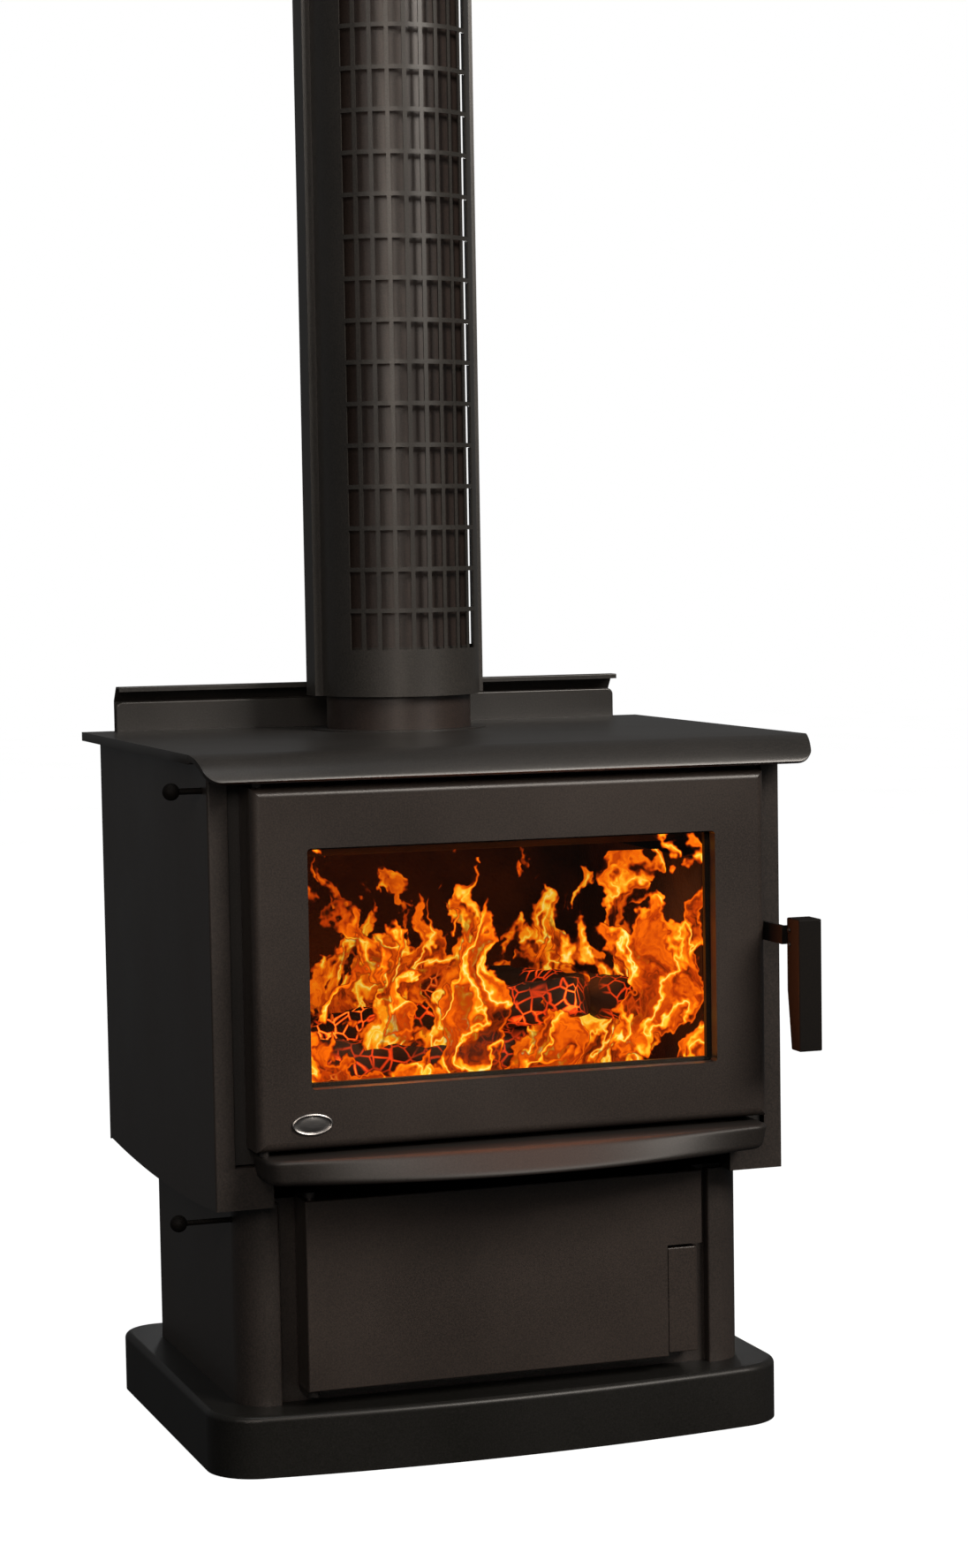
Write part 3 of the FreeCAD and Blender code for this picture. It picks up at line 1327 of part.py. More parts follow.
def make_grip():
    """Handle grip with a back that is cut forward towards its foot, and its two screws."""
    high = latch_z + S.grip_above
    low = high - S.grip_length
    front = grip_rear - S.grip_depth
    right = grip_left + S.grip_width
    knee = high - S.grip_length * 0.55
    profile = [
        (front, low),
        (grip_rear - S.grip_slant, low),
        (grip_rear, knee),
        (grip_rear, high),
        (front, high),
    ]
    piece = Sheetwork("latch_grip")
    piece.pad("YZ_Plane", grip_left, right, profile)
    piece.fillet(S.grip_edge, lambda way, middle: near(middle.y, front) or near(middle.z, high) or near(middle.z, low))
    piece.done()
    for number, step in enumerate((0.5, -0.5), start=1):
        centre = (grip_left - 1.2, grip_rear - 6, latch_z - 2 + step * S.grip_screw_pitch)
        finish(rod(f"screw_{number}", S.grip_screw_radius, 1.2, centre, "x"), f"grip_screw_{number}")


# ---------------------------------------------------------------- air controls

def make_controls():
    """Two control rods on the left side, each with a ball knob and its sliding shutter."""
    knob_out = -casing_half - S.upper_rod_out
    inner = -firebox_half - 14
    start = (knob_out + 1, upper_rod_y, upper_rod_z)
    stem = rod("stem_upper", S.upper_rod_radius, inner - knob_out, start, "x")
    across = (inner, inner + S.shutter_thick)
    deep = (upper_rod_y - 6, upper_rod_y + 12)
    tall = (upper_rod_z - 12, upper_rod_z + 12)
    finish(fuse("weld_upper", stem, box("shutter_upper", across, deep, tall)), "upper_rod")
    bored_knob("upper_knob", knob_out, start, S.upper_rod_radius)
    knob_out = -pedestal_half - S.lower_rod_out
    inner = -pedestal_half + 60
    start = (knob_out + 1, lower_rod_y, lower_rod_z)
    stem = rod("stem_lower", S.lower_rod_radius, inner + 3 - knob_out, start, "x")
    across = (inner, inner + 70)
    deep = (lower_rod_y - 15, lower_rod_y + 15)
    tall = (lower_rod_z - S.shutter_thick / 2, lower_rod_z + S.shutter_thick / 2)
    finish(fuse("weld_lower", stem, box("shutter_lower", across, deep, tall)), "lower_rod")
    bored_knob("lower_knob", knob_out, start, S.lower_rod_radius)


def bored_knob(label, knob_out, start, radius):
    """A ball knob with a socket for the end of its rod."""
    sphere = ball(f"{label}_ball", S.knob_radius, (knob_out, start[1], start[2]))
    socket = rod(f"{label}_socket", radius, 2 * S.knob_radius, start, "x")
    finish(cut(f"{label}_bored", sphere, socket), label)


# ---------------------------------------------------------------- build, check and write

def build_all():
    """Make every sub-part, from the floor up."""
    make_plinth()
    make_plinth_base()
    for name, side in SIDES:
        make_pedestal_side(name, side)
        make_casing_side(name, side)
    make_pedestal_inside()
    make_storage_frame()
    make_storage_door()
    make_storage_pull()
    make_storage_hinges()
    make_casing_back()
    make_top_plate()
    make_rear_upstand()
    make_rear_deflector()
    make_front_frame()
    make_firebox()
    make_bricks()
    make_air_parts()
    make_flue()
    make_shield()
    make_shield_bands()
    make_shelf()
    make_door_frame()
    make_glazing()
    make_rope()
    make_badge()
    make_door_hinges()
    make_latch()
    make_grip()
    make_controls()
    doc.recompute()


def check_document():
    """Stop if any object failed or any sub-part is not one valid solid."""
    for obj in doc.Objects:
        if "Invalid" in obj.State or "Error" in obj.State:
            raise RuntimeError(f"{obj.Name} ({obj.Label}) failed: {obj.State}")
    for obj in finished:
        shape = obj.Shape
        if shape.isNull() or not shape.isValid() or len(shape.Solids) != 1:
            raise RuntimeError(f"{obj.Label}: {len(shape.Solids)} solids, valid {shape.isValid()}")


def write_steps():
    """Write each sub-part to its own STEP file."""
    os.makedirs("parts", exist_ok=True)
    for obj in finished:
        obj.Shape.exportStep(f"parts/{obj.Label}.step")
    print(f"{len(finished)} sub-parts written")


build_all()
check_document()
write_steps()
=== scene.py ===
import math

import bmesh
import bpy
from mathutils import Matrix, Vector, noise


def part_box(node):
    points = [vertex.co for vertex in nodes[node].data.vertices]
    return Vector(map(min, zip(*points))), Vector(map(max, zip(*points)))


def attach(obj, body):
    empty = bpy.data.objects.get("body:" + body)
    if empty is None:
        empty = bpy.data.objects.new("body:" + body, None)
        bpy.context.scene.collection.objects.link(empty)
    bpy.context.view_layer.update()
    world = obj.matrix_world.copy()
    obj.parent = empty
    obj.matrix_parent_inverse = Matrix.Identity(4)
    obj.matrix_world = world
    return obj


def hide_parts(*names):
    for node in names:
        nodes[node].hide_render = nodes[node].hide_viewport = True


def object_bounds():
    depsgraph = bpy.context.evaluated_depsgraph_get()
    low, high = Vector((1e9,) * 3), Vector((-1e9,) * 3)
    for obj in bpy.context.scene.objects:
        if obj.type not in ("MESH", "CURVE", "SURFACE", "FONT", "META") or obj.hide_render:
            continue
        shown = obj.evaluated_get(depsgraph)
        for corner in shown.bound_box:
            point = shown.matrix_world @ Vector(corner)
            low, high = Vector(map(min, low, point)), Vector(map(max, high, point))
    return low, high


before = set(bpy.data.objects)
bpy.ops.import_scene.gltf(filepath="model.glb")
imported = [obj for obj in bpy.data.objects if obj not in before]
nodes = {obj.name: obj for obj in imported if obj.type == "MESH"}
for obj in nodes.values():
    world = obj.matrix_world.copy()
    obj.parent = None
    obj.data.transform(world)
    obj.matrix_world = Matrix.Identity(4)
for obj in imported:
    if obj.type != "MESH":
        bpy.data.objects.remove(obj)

cad_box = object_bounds()

# Studio: a white floor and backdrop, one big soft light high on the right of the front,
# weak ones in front, above, on the left and behind, and a camera a little left of the
# front at table height.


def shade(text):
    """Linear colour of an sRGB hex value."""
    parts = [int(text[i:i + 2], 16) / 255 for i in (1, 3, 5)]
    return [c / 12.92 if c <= 0.04045 else ((c + 0.055) / 1.055) ** 2.4 for c in parts] + [1.0]


def add(tree, kind, settings=None, inputs=None):
    """Adds one node, with its settings, and its inputs as values or links."""
    made = tree.nodes.new(kind)
    for key, value in (settings or {}).items():
        setattr(made, key, value)
    for key, value in (inputs or {}).items():
        if isinstance(value, bpy.types.NodeSocket):
            tree.links.new(value, made.inputs[key])
        else:
            made.inputs[key].default_value = value
    return made


def maths(tree, operation, *values):
    """One sum on values or sockets."""
    return add(tree, "ShaderNodeMath", {"operation": operation}, dict(enumerate(values))).outputs[0]


def spread(tree, value, start, end, low=0.0, high=1.0):
    """Maps start to end onto low to high, and holds the ends."""
    return add(tree, "ShaderNodeMapRange", inputs={
        "Value": value, "From Min": start, "From Max": end, "To Min": low, "To Max": high}).outputs[0]


def tones(tree, factor, first, last, *between):
    """A colour ramp from its first and last stops, each a place and a hex colour."""
    made = add(tree, "ShaderNodeValToRGB", inputs={"Fac": factor})
    for stop, (at, colour) in zip(made.color_ramp.elements, (first, last)):
        stop.position = at
        stop.color = shade(colour)
    for at, colour in between:
        made.color_ramp.elements.new(at).color = shade(colour)
    return made.outputs["Color"]


def cloudy(tree, spot, scale, detail, rough=0.5):
    """Cloudy noise, 0 to 1."""
    return add(tree, "ShaderNodeTexNoise", inputs={
        "Vector": spot, "Scale": scale, "Detail": detail, "Roughness": rough}).outputs["Fac"]


def dented(tree, height, strength, depth):
    """Surface normals from a height."""
    return add(tree, "ShaderNodeBump", inputs={
        "Height": height, "Strength": strength, "Distance": depth}).outputs[0]


def coat(tree, inputs):
    """Ends a material in one opaque surface."""
    skin = add(tree, "ShaderNodeBsdfPrincipled", inputs=inputs)
    add(tree, "ShaderNodeOutputMaterial", inputs={"Surface": skin.outputs[0]})


def close_rings(maker, rings):
    """Skins a stack of equal closed rings and caps both ends."""
    for near, far in zip(rings, rings[1:]):
        for i in range(len(near)):
            k = (i + 1) % len(near)
            maker.faces.new((near[i], near[k], far[k], far[i]))
    maker.faces.new(rings[0][::-1])
    maker.faces.new(rings[-1])
    bmesh.ops.recalc_face_normals(maker, faces=maker.faces)


def new_material(name):
    """An empty material with no nodes, and its node tree."""
    made = bpy.data.materials.new(name)
    made.use_nodes = True
    made.node_tree.nodes.clear()
    return made, made.node_tree


def new_piece(name, mesh_maker, material, body):
    """Turns a bmesh into a finished piece that rides on a body."""
    mesh = bpy.data.meshes.new(name)
    mesh_maker.to_mesh(mesh)
    mesh_maker.free()
    piece = bpy.data.objects.new(name, mesh)
    bpy.context.scene.collection.objects.link(piece)
    mesh.materials.append(material)
    for face in mesh.polygons:
        face.use_smooth = True
    mesh.set_sharp_from_angle(angle=math.radians(38))
    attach(piece, body)
    return piece


def repaint(material, *names):
    """Gives CAD nodes a material."""
    for name in names:
        owner = nodes[name]
        owner.data.materials.clear()
        owner.data.materials.append(material)


scene = bpy.context.scene
scene.view_settings.view_transform = "Standard"
world = bpy.data.worlds.new("studio")
scene.world = world
world.use_nodes = True
sky = world.node_tree
sky.nodes.clear()
path = add(sky, "ShaderNodeLightPath")
around = add(sky, "ShaderNodeTexCoord").outputs["Generated"]
level = add(sky, "ShaderNodeSeparateXYZ", inputs={0: around}).outputs["Z"]
walls = spread(sky, level, -0.25, 0.15, 0.03, 0.115)
dim = add(sky, "ShaderNodeBackground", inputs={"Color": [1, 1, 1, 1], "Strength": walls})
bright = add(sky, "ShaderNodeBackground", inputs={"Color": [1, 1, 1, 1], "Strength": 1.0})
both = add(sky, "ShaderNodeMixShader", inputs={
    0: path.outputs["Is Camera Ray"], 1: dim.outputs[0], 2: bright.outputs[0]})
add(sky, "ShaderNodeOutputWorld", inputs={"Surface": both.outputs[0]})

floor_paper, tree = new_material("white_paper_floor")
spot = add(tree, "ShaderNodeTexCoord").outputs["Object"]
tone = tones(tree, cloudy(tree, spot, 3.0, 2.0), (0.0, "#fbfbfb"), (1.0, "#ffffff"))
glow = add(tree, "ShaderNodeEmission", inputs={"Color": tone, "Strength": 1.0})
matt = add(tree, "ShaderNodeBsdfDiffuse", inputs={"Color": shade("#6a6a6a")})
sheet = add(tree, "ShaderNodeAddShader", inputs={0: glow.outputs[0], 1: matt.outputs[0]})
add(tree, "ShaderNodeOutputMaterial", inputs={"Surface": sheet.outputs[0]})
bm = bmesh.new()
bmesh.ops.create_grid(bm, x_segments=2, y_segments=2, size=14)
mesh = bpy.data.meshes.new("studio_floor")
bm.to_mesh(mesh)
bm.free()
mesh.materials.append(floor_paper)
studio_floor = bpy.data.objects.new("studio_floor", mesh)
studio_floor.location = (0, 0, cad_box[0][2] - 0.0005)
scene.collection.objects.link(studio_floor)
studio_floor.visible_glossy = False
studio_floor.visible_diffuse = False

for name, place, aim, size, power, colour in (
    ("key", (1.9, -3.4, 3.0), (0, 0, 0.6), 1.7, 215, "#fff6ec"),
    ("front", (-1.3, -3.9, 1.9), (0, 0, 0.7), 1.2, 46, "#fff0e2"),
    ("overhead", (-0.3, -1.1, 4.2), (0, 0, 0.6), 1.4, 24, "#ffffff"),
    ("side", (-2.9, -3.0, 2.0), (0, 0, 1.0), 0.9, 13, "#fff4ea"),
    ("rear", (1.0, 3.2, 0.25), (0, 0, 0.8), 0.5, 30, "#ffffff"),
):
    lamp = bpy.data.lights.new(name, "AREA")
    lamp.size = size
    lamp.energy = power
    lamp.color = shade(colour)[:3]
    holder = bpy.data.objects.new(name, lamp)
    holder.location = place
    holder.visible_camera = False
    holder.rotation_euler = (Vector(aim) - Vector(place)).to_track_quat("-Z", "Y").to_euler()
    scene.collection.objects.link(holder)

turn, tilt, roll = math.radians(-20.009), math.radians(4.824), math.radians(-0.826)
ahead = Vector((-math.sin(turn) * math.cos(tilt), math.cos(turn) * math.cos(tilt), -math.sin(tilt)))
right = Vector((math.cos(turn), math.sin(turn), 0))
up = right.cross(ahead)
across = math.cos(roll) * right + math.sin(roll) * up
upward = -math.sin(roll) * right + math.cos(roll) * up
lens = bpy.data.cameras.new("camera")
lens.sensor_width = 36
lens.lens = 78.41
lens.shift_x = -0.0575
lens.shift_y = 0.0352
lens.clip_end = 50
camera = bpy.data.objects.new("camera", lens)
stance = Matrix((across, upward, -ahead)).transposed().to_4x4()
stance.translation = (-1.0516, -3.2938, 0.8718)
camera.matrix_world = stance
scene.collection.objects.link(camera)
scene.camera = camera

# Plinth: a folded sheet-steel tray with big rounded corners that stands on the hearth,
# sprayed near black. Its base plate is the same sheet and is bolted down.

FLECK = 0.0016  # metres; real fleck is 0.2 mm, drawn coarser so that it shows


def stove_paint(name, dark, light, rough, gloss=1.45):
    """High-temperature silicone paint: dry satin, a fine mineral fleck and slight orange peel."""
    made, tree = new_material(name)
    spot = add(tree, "ShaderNodeTexCoord").outputs["Object"]
    fleck = cloudy(tree, spot, 1 / FLECK, 2.0, 0.6)
    cloud = cloudy(tree, spot, 5.0, 3.0)
    mixed = maths(tree, "ADD", fleck, maths(tree, "MULTIPLY_ADD", cloud, 0.5, -0.25))
    coat(tree, {
        "Base Color": tones(tree, mixed, (0.30, dark), (0.72, light)),
        "Roughness": spread(tree, cloud, 0.3, 0.7, rough - 0.04, rough + 0.05),
        "Normal": dented(tree, fleck, 0.10, 0.0004),
        "IOR": gloss})
    return made


plinth_paint = stove_paint("black_stove_paint_plinth", "#11110f", "#1d1c1b", 0.38, 1.34)
repaint(plinth_paint, "plinth", "plinth_base")

# Pedestal and storage box: 3 mm steel folded round the front corners into two columns,
# welded to a floor, a ceiling and a back. The tray door hangs between them on two pins.

body_paint = stove_paint("charcoal_stove_paint_body", "#221f1d", "#342e2b", 0.36)
door_paint = stove_paint("charcoal_stove_paint_doors", "#231f1d", "#352e2a", 0.34)
repaint(body_paint, "pedestal_left", "pedestal_right", "pedestal_back",
        "storage_floor", "storage_ceiling", "storage_frame")
repaint(door_paint, "storage_door", "storage_pull")

# Casing: two side panels of sheet steel, folded into the front strips and feet.
# A back and a base close it, all sprayed with the pedestal.

repaint(body_paint, "casing_left", "casing_right", "casing_back", "casing_base")

# Top: a thick cooking plate with its front edge pressed down into a soft lip, its lower
# corners rounded, and a hole for the flue. The heat upstand and deflector stand behind.

top_paint = stove_paint("charcoal_stove_paint_top", "#1d1c1b", "#2d2b29", 0.33)
low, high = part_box("top_plate")
half, rear, surface = high[0], high[1], high[2]
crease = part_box("casing_left")[0][1] - 0.018
plate, lip, lip_length, lip_corner, lip_taper = 0.009, 0.005, 0.046, 0.017, 0.007


def plate_point(t):
    """Point and normal of the upper face: t below 0 is the flat part, 0 to 1 runs down the lip."""
    if t <= 0:
        return rear + (crease - rear) * (1 + t), surface, 0.0
    start, turn = math.radians(6), math.radians(56)
    angle = start + turn * t
    y = crease - lip_length / turn * (math.sin(angle) - math.sin(start))
    z = surface - lip_length / turn * (math.cos(start) - math.cos(angle))
    return y, z, angle


shares = [-1 + 2 * i / 60 for i in range(61)]
ends = [half - lip_corner * (1 - math.sin(math.pi / 2 * i / 10)) for i in range(11)]
middle = [(half - lip_corner) * share for share in shares[1:-1]]
sections = [-x for x in reversed(ends)] + middle + ends
steps = [-1 + i / 6 for i in range(7)] + [i / 16 for i in range(1, 17)]
bm = bmesh.new()
upper, lower = [], []
for x in sections:
    over = max(0.0, abs(x) - (half - lip_corner))
    drop = lip_corner - math.sqrt(max(0.0, lip_corner ** 2 - over ** 2))
    reach = 1 - drop / lip_length
    row_up, row_low = [], []
    for t in steps:
        y, z, angle = plate_point(t if t <= 0 else t * reach)
        side = x * (1 - lip_taper / half * max(0.0, t))
        thick = plate if t <= 0 else plate + (lip - plate) * min(1, t * 3)
        row_up.append(bm.verts.new((side, y, z)))
        row_low.append(bm.verts.new((side, y + thick * math.sin(angle), z - thick * math.cos(angle))))
    upper.append(row_up)
    lower.append(row_low)
last = len(steps) - 1
for i in range(len(sections) - 1):
    for j in range(last):
        bm.faces.new((upper[i][j], upper[i + 1][j], upper[i + 1][j + 1], upper[i][j + 1]))
        bm.faces.new((lower[i][j], lower[i][j + 1], lower[i + 1][j + 1], lower[i + 1][j]))
    bm.faces.new((upper[i][0], lower[i][0], lower[i + 1][0], upper[i + 1][0]))
    bm.faces.new((upper[i][last], upper[i + 1][last], lower[i + 1][last], lower[i][last]))
for j in range(last):
    bm.faces.new((upper[0][j], upper[0][j + 1], lower[0][j + 1], lower[0][j]))
    bm.faces.new((upper[-1][j], lower[-1][j], lower[-1][j + 1], upper[-1][j + 1]))
bmesh.ops.recalc_face_normals(bm, faces=bm.faces)
rough_plate = bpy.data.meshes.new("rough_plate")
bm.to_mesh(rough_plate)
bm.free()
blank = bpy.data.objects.new("blank_plate", rough_plate)
scene.collection.objects.link(blank)
pipe_low, pipe_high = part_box("flue_pipe")
hole_radius = (pipe_high[0] - pipe_low[0]) / 2 + 0.002
bm = bmesh.new()
bmesh.ops.create_cone(bm, cap_ends=True, segments=96, depth=0.1, radius1=hole_radius, radius2=hole_radius,
                      matrix=Matrix.Translation((0, (pipe_low[1] + pipe_high[1]) / 2, surface)))
punch_mesh = bpy.data.meshes.new("punch")
bm.to_mesh(punch_mesh)
bm.free()
punch = bpy.data.objects.new("punch", punch_mesh)
scene.collection.objects.link(punch)
punched = blank.modifiers.new("flue_hole", "BOOLEAN")
punched.object = punch
punched.operation = "DIFFERENCE"
rounded = blank.modifiers.new("worn_edge", "BEVEL")
rounded.width = 0.0016
rounded.segments = 2
rounded.angle_limit = math.radians(40)
finished = bpy.data.meshes.new_from_object(blank.evaluated_get(bpy.context.evaluated_depsgraph_get()))
bm = bmesh.new()
bm.from_mesh(finished)
for used in (blank, punch):
    bpy.data.objects.remove(used)
cooking_plate = new_piece("cooking_plate", bm, top_paint, "stove")
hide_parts("top_plate")
repaint(top_paint, "rear_upstand", "rear_deflector")

# Firebox: five walls of 5 mm boiler plate, welded, with the baffle and air pipework.
# It is bare inside, so that it is sooted and scaled. Only its front frame is painted.

sooted_plate, tree = new_material("sooted_boiler_plate")
spot = add(tree, "ShaderNodeTexCoord").outputs["Object"]
soot = cloudy(tree, spot, 18.0, 6.0, 0.65)
scale_marks = add(tree, "ShaderNodeTexVoronoi", inputs={"Vector": spot, "Scale": 160.0})
coat(tree, {
    "Base Color": tones(tree, soot, (0.35, "#12100e"), (0.70, "#3b3029")),
    "Roughness": spread(tree, soot, 0.0, 1.0, 0.45, 0.9),
    "Metallic": 0.4,
    "Normal": dented(tree, scale_marks.outputs["Distance"], 0.35, 0.001)})
repaint(sooted_plate, "firebox_floor", "firebox_left", "firebox_right", "firebox_back", "firebox_top",
        "airwash_duct", "baffle", "log_guard", "air_tube", "flue_collar")
frame_paint = stove_paint("charcoal_stove_paint_frame", "#161514", "#242120", 0.48)
repaint(frame_paint, "front_frame")

# Bricks: pressed vermiculite and firebrick slabs that stand loose along the walls.
# They are pale and porous, and darkened by smoke towards the top.

firebrick, tree = new_material("smoked_firebrick")
spot = add(tree, "ShaderNodeTexCoord").outputs["Object"]
pores = add(tree, "ShaderNodeTexVoronoi", inputs={"Vector": spot, "Scale": 260.0})
smoke = cloudy(tree, spot, 9.0, 5.0)
coat(tree, {
    "Base Color": tones(tree, smoke, (0.38, "#18120d"), (0.66, "#4a3828")),
    "Roughness": 0.92,
    "Normal": dented(tree, pores.outputs["Distance"], 0.5, 0.0012)})
repaint(firebrick, "brick_base", "brick_left", "brick_right", "brick_back")

# Embers and ash: a low heap over the base bricks, grey on top and glowing in its cracks.

embers, tree = new_material("glowing_embers")
spot = add(tree, "ShaderNodeTexCoord").outputs["Object"]
lumps = add(tree, "ShaderNodeTexVoronoi", {"feature": "DISTANCE_TO_EDGE"}, {"Vector": spot, "Scale": 55.0})
cracks = spread(tree, lumps.outputs["Distance"], 0.0, 0.16, 1.0, 0.0)
hot = spread(tree, cloudy(tree, spot, 14.0, 4.0), 0.42, 0.62)
lit = maths(tree, "MULTIPLY", cracks, hot)
fire_tone = tones(tree, lit, (0.0, "#000000"), (1.0, "#ffb040"), (0.35, "#d8400a"))
coat(tree, {
    "Base Color": shade("#2b2624"), "Roughness": 0.95,
    "Emission Color": fire_tone, "Emission Strength": 2.5})

bed_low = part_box("brick_base")[1][2] + 0.001
bm = bmesh.new()
columns, rows = 84, 60
grid = []
for j in range(rows + 1):
    row = []
    for i in range(columns + 1):
        x = -0.212 + 0.424 * i / columns
        y = -0.170 + 0.345 * j / rows
        edge = min(i, columns - i, j, rows - j) / 8
        lump = noise.fractal(Vector((x * 28, y * 28, 1.7)), 1.0, 2.1, 4)
        rise = (0.014 + 0.010 * lump) * min(1, edge)
        row.append(bm.verts.new((x, y, bed_low + 0.001 + max(0.0005, rise))))
    grid.append(row)
for j in range(rows):
    for i in range(columns):
        bm.faces.new((grid[j][i], grid[j][i + 1], grid[j + 1][i + 1], grid[j + 1][i]))
ring = grid[0][:] + [grid[j][columns] for j in range(1, rows + 1)]
ring += [grid[rows][i] for i in range(columns - 1, -1, -1)] + [grid[j][0] for j in range(rows - 1, 0, -1)]
under = [bm.verts.new((v.co.x, v.co.y, bed_low)) for v in ring]
for k in range(len(ring)):
    n = (k + 1) % len(ring)
    bm.faces.new((ring[k], under[k], under[n], ring[n]))
bm.faces.new(under[::-1])
new_piece("ember_bed", bm, embers, "stove")

# Logs: four lengths of split hardwood, laid loose on the bed and across each other.
# They are charred to a crocodile pattern that glows in its splits.

charred_wood, tree = new_material("charred_split_log")
spot = add(tree, "ShaderNodeTexCoord").outputs["Object"]
blocks = add(tree, "ShaderNodeTexVoronoi", {"feature": "DISTANCE_TO_EDGE"}, {"Vector": spot, "Scale": 75.0})
gaps = spread(tree, blocks.outputs["Distance"], 0.0, 0.10, 1.0, 0.0)
heat = cloudy(tree, spot, 11.0, 3.0)
hot = spread(tree, heat, 0.45, 0.65)
lit = maths(tree, "MULTIPLY", gaps, hot)
fire_tone = tones(tree, lit, (0.0, "#000000"), (1.0, "#ff9a2a"), (0.4, "#c83206"))
coat(tree, {
    "Base Color": tones(tree, heat, (0.0, "#0d0b0a"), (1.0, "#3a2a20")), "Roughness": 0.85,
    "Normal": dented(tree, blocks.outputs["Distance"], 0.8, 0.003),
    "Emission Color": fire_tone, "Emission Strength": 2.0})

for number, (start, end, thick) in enumerate((
    ((-0.185, -0.075, 0.368), (0.165, -0.055, 0.372), 0.026),
    ((-0.155, 0.045, 0.372), (0.190, 0.030, 0.368), 0.030),
    ((-0.175, 0.115, 0.366), (0.110, -0.120, 0.432), 0.024),
    ((0.020, 0.120, 0.422), (0.165, -0.115, 0.424), 0.022),
)):
    start, end = Vector(start), Vector(end)
    along = (end - start).normalized()
    side = along.cross(Vector((0, 0, 1))).normalized()
    over = side.cross(along)
    bm = bmesh.new()
    loops = []
    turns, stations = 28, 44
    for j in range(stations + 1):
        loop = []
        for i in range(turns):
            angle = 2 * math.pi * i / turns
            spoke = math.cos(angle) * side + math.sin(angle) * over
            centre = start.lerp(end, j / stations)
            split = 0.82 if math.cos(angle - number) > 0.55 else 1.0
            grit = noise.fractal((centre + spoke * 0.02) * 45 + Vector((number * 7, 0, 0)), 1.0, 2.0, 4)
            size = thick * split * (1 + 0.16 * grit) * (0.93 if j in (0, stations) else 1)
            loop.append(bm.verts.new(centre + spoke * size))
        loops.append(loop)
    close_rings(bm, loops)
    new_piece(f"log_{number + 1}", bm, charred_wood, "stove")

# Flames: burning gas has no surface, so thin curved veils carry it. Each glows from
# deep orange to pale yellow, and is clear between its tongues.


def flame(name, seed, lift, strength):
    """Burning wood gas: curled tongues that thin out with height."""
    made, tree = new_material(name)
    spot = add(tree, "ShaderNodeTexCoord").outputs["Object"]
    moved = add(tree, "ShaderNodeMapping", inputs={
        "Vector": spot, "Location": (seed, seed * 0.37, seed * 0.73)}).outputs[0]
    curled = moved
    for scale, detail, rough, pull in (
        (9.0, 2.0, 0.5, (0.17, 0.0, 0.15)),
        (28.0, 3.0, 0.6, (0.055, 0.0, 0.065)),
    ):
        swirl = add(tree, "ShaderNodeTexNoise", inputs={
            "Vector": moved, "Scale": scale, "Detail": detail, "Roughness": rough}).outputs["Color"]
        centred = add(tree, "ShaderNodeVectorMath", {"operation": "SUBTRACT"}, {0: swirl, 1: (0.5, 0.5, 0.5)})
        offset = centred.outputs[0]
        pulled = add(tree, "ShaderNodeVectorMath", {"operation": "MULTIPLY"}, {0: offset, 1: pull})
        summed = add(tree, "ShaderNodeVectorMath", {"operation": "ADD"}, {0: curled, 1: pulled.outputs[0]})
        curled = summed.outputs[0]
    drawn = add(tree, "ShaderNodeVectorMath", {"operation": "MULTIPLY"}, {
        0: curled, 1: (1.0, 1.0, 0.55)}).outputs[0]
    place = add(tree, "ShaderNodeSeparateXYZ", inputs={0: spot}).outputs
    fade = spread(tree, place["Z"], 0.36, 0.60, lift, lift - 0.20)
    beat = maths(tree, "MULTIPLY_ADD", place["X"], 2 * math.pi / 0.21, 0.9 + seed * 0.2)
    bunch = maths(tree, "COSINE", beat)
    raised = maths(tree, "MULTIPLY_ADD", bunch, 0.045, fade)
    gas = maths(tree, "ADD", cloudy(tree, drawn, 17.0, 3.0), raised)
    tongue = add(tree, "ShaderNodeMapRange", {"interpolation_type": "SMOOTHSTEP"}, {
        "Value": gas, "From Min": 0.53, "From Max": 0.63}).outputs[0]
    fold = maths(tree, "ABSOLUTE", maths(tree, "SUBTRACT", cloudy(tree, drawn, 30.0, 2.0), 0.5))
    crest = maths(tree, "POWER", spread(tree, fold, 0.0, 0.070, 1.0, 0.0), 1.6)
    flicker = cloudy(tree, drawn, 52.0, 3.0, 0.6)
    inner = maths(tree, "MULTIPLY_ADD", flicker, 0.80, maths(tree, "MULTIPLY_ADD", crest, 0.62, -0.12))
    rim = spread(tree, maths(tree, "ABSOLUTE", maths(tree, "SUBTRACT", gas, 0.585)), 0.0, 0.035, 0.26, 0.0)
    heat = maths(tree, "ADD", maths(tree, "MULTIPLY", tongue, inner), rim)
    tone = tones(tree, heat, (0.0, "#1c0802"), (1.0, "#fff0a0"), (0.16, "#4a1503"), (0.30, "#b53a04"),
                 (0.44, "#f26a06"), (0.60, "#ff9a12"), (0.78, "#ffcc3a"))
    glow = add(tree, "ShaderNodeEmission", inputs={"Color": tone, "Strength": strength})
    clear = add(tree, "ShaderNodeBsdfTransparent")
    veil = spread(tree, heat, 0.06, 0.30)
    out = add(tree, "ShaderNodeMixShader", inputs={0: veil, 1: clear.outputs[0], 2: glow.outputs[0]})
    add(tree, "ShaderNodeOutputMaterial", inputs={"Surface": out.outputs[0]})
    return made


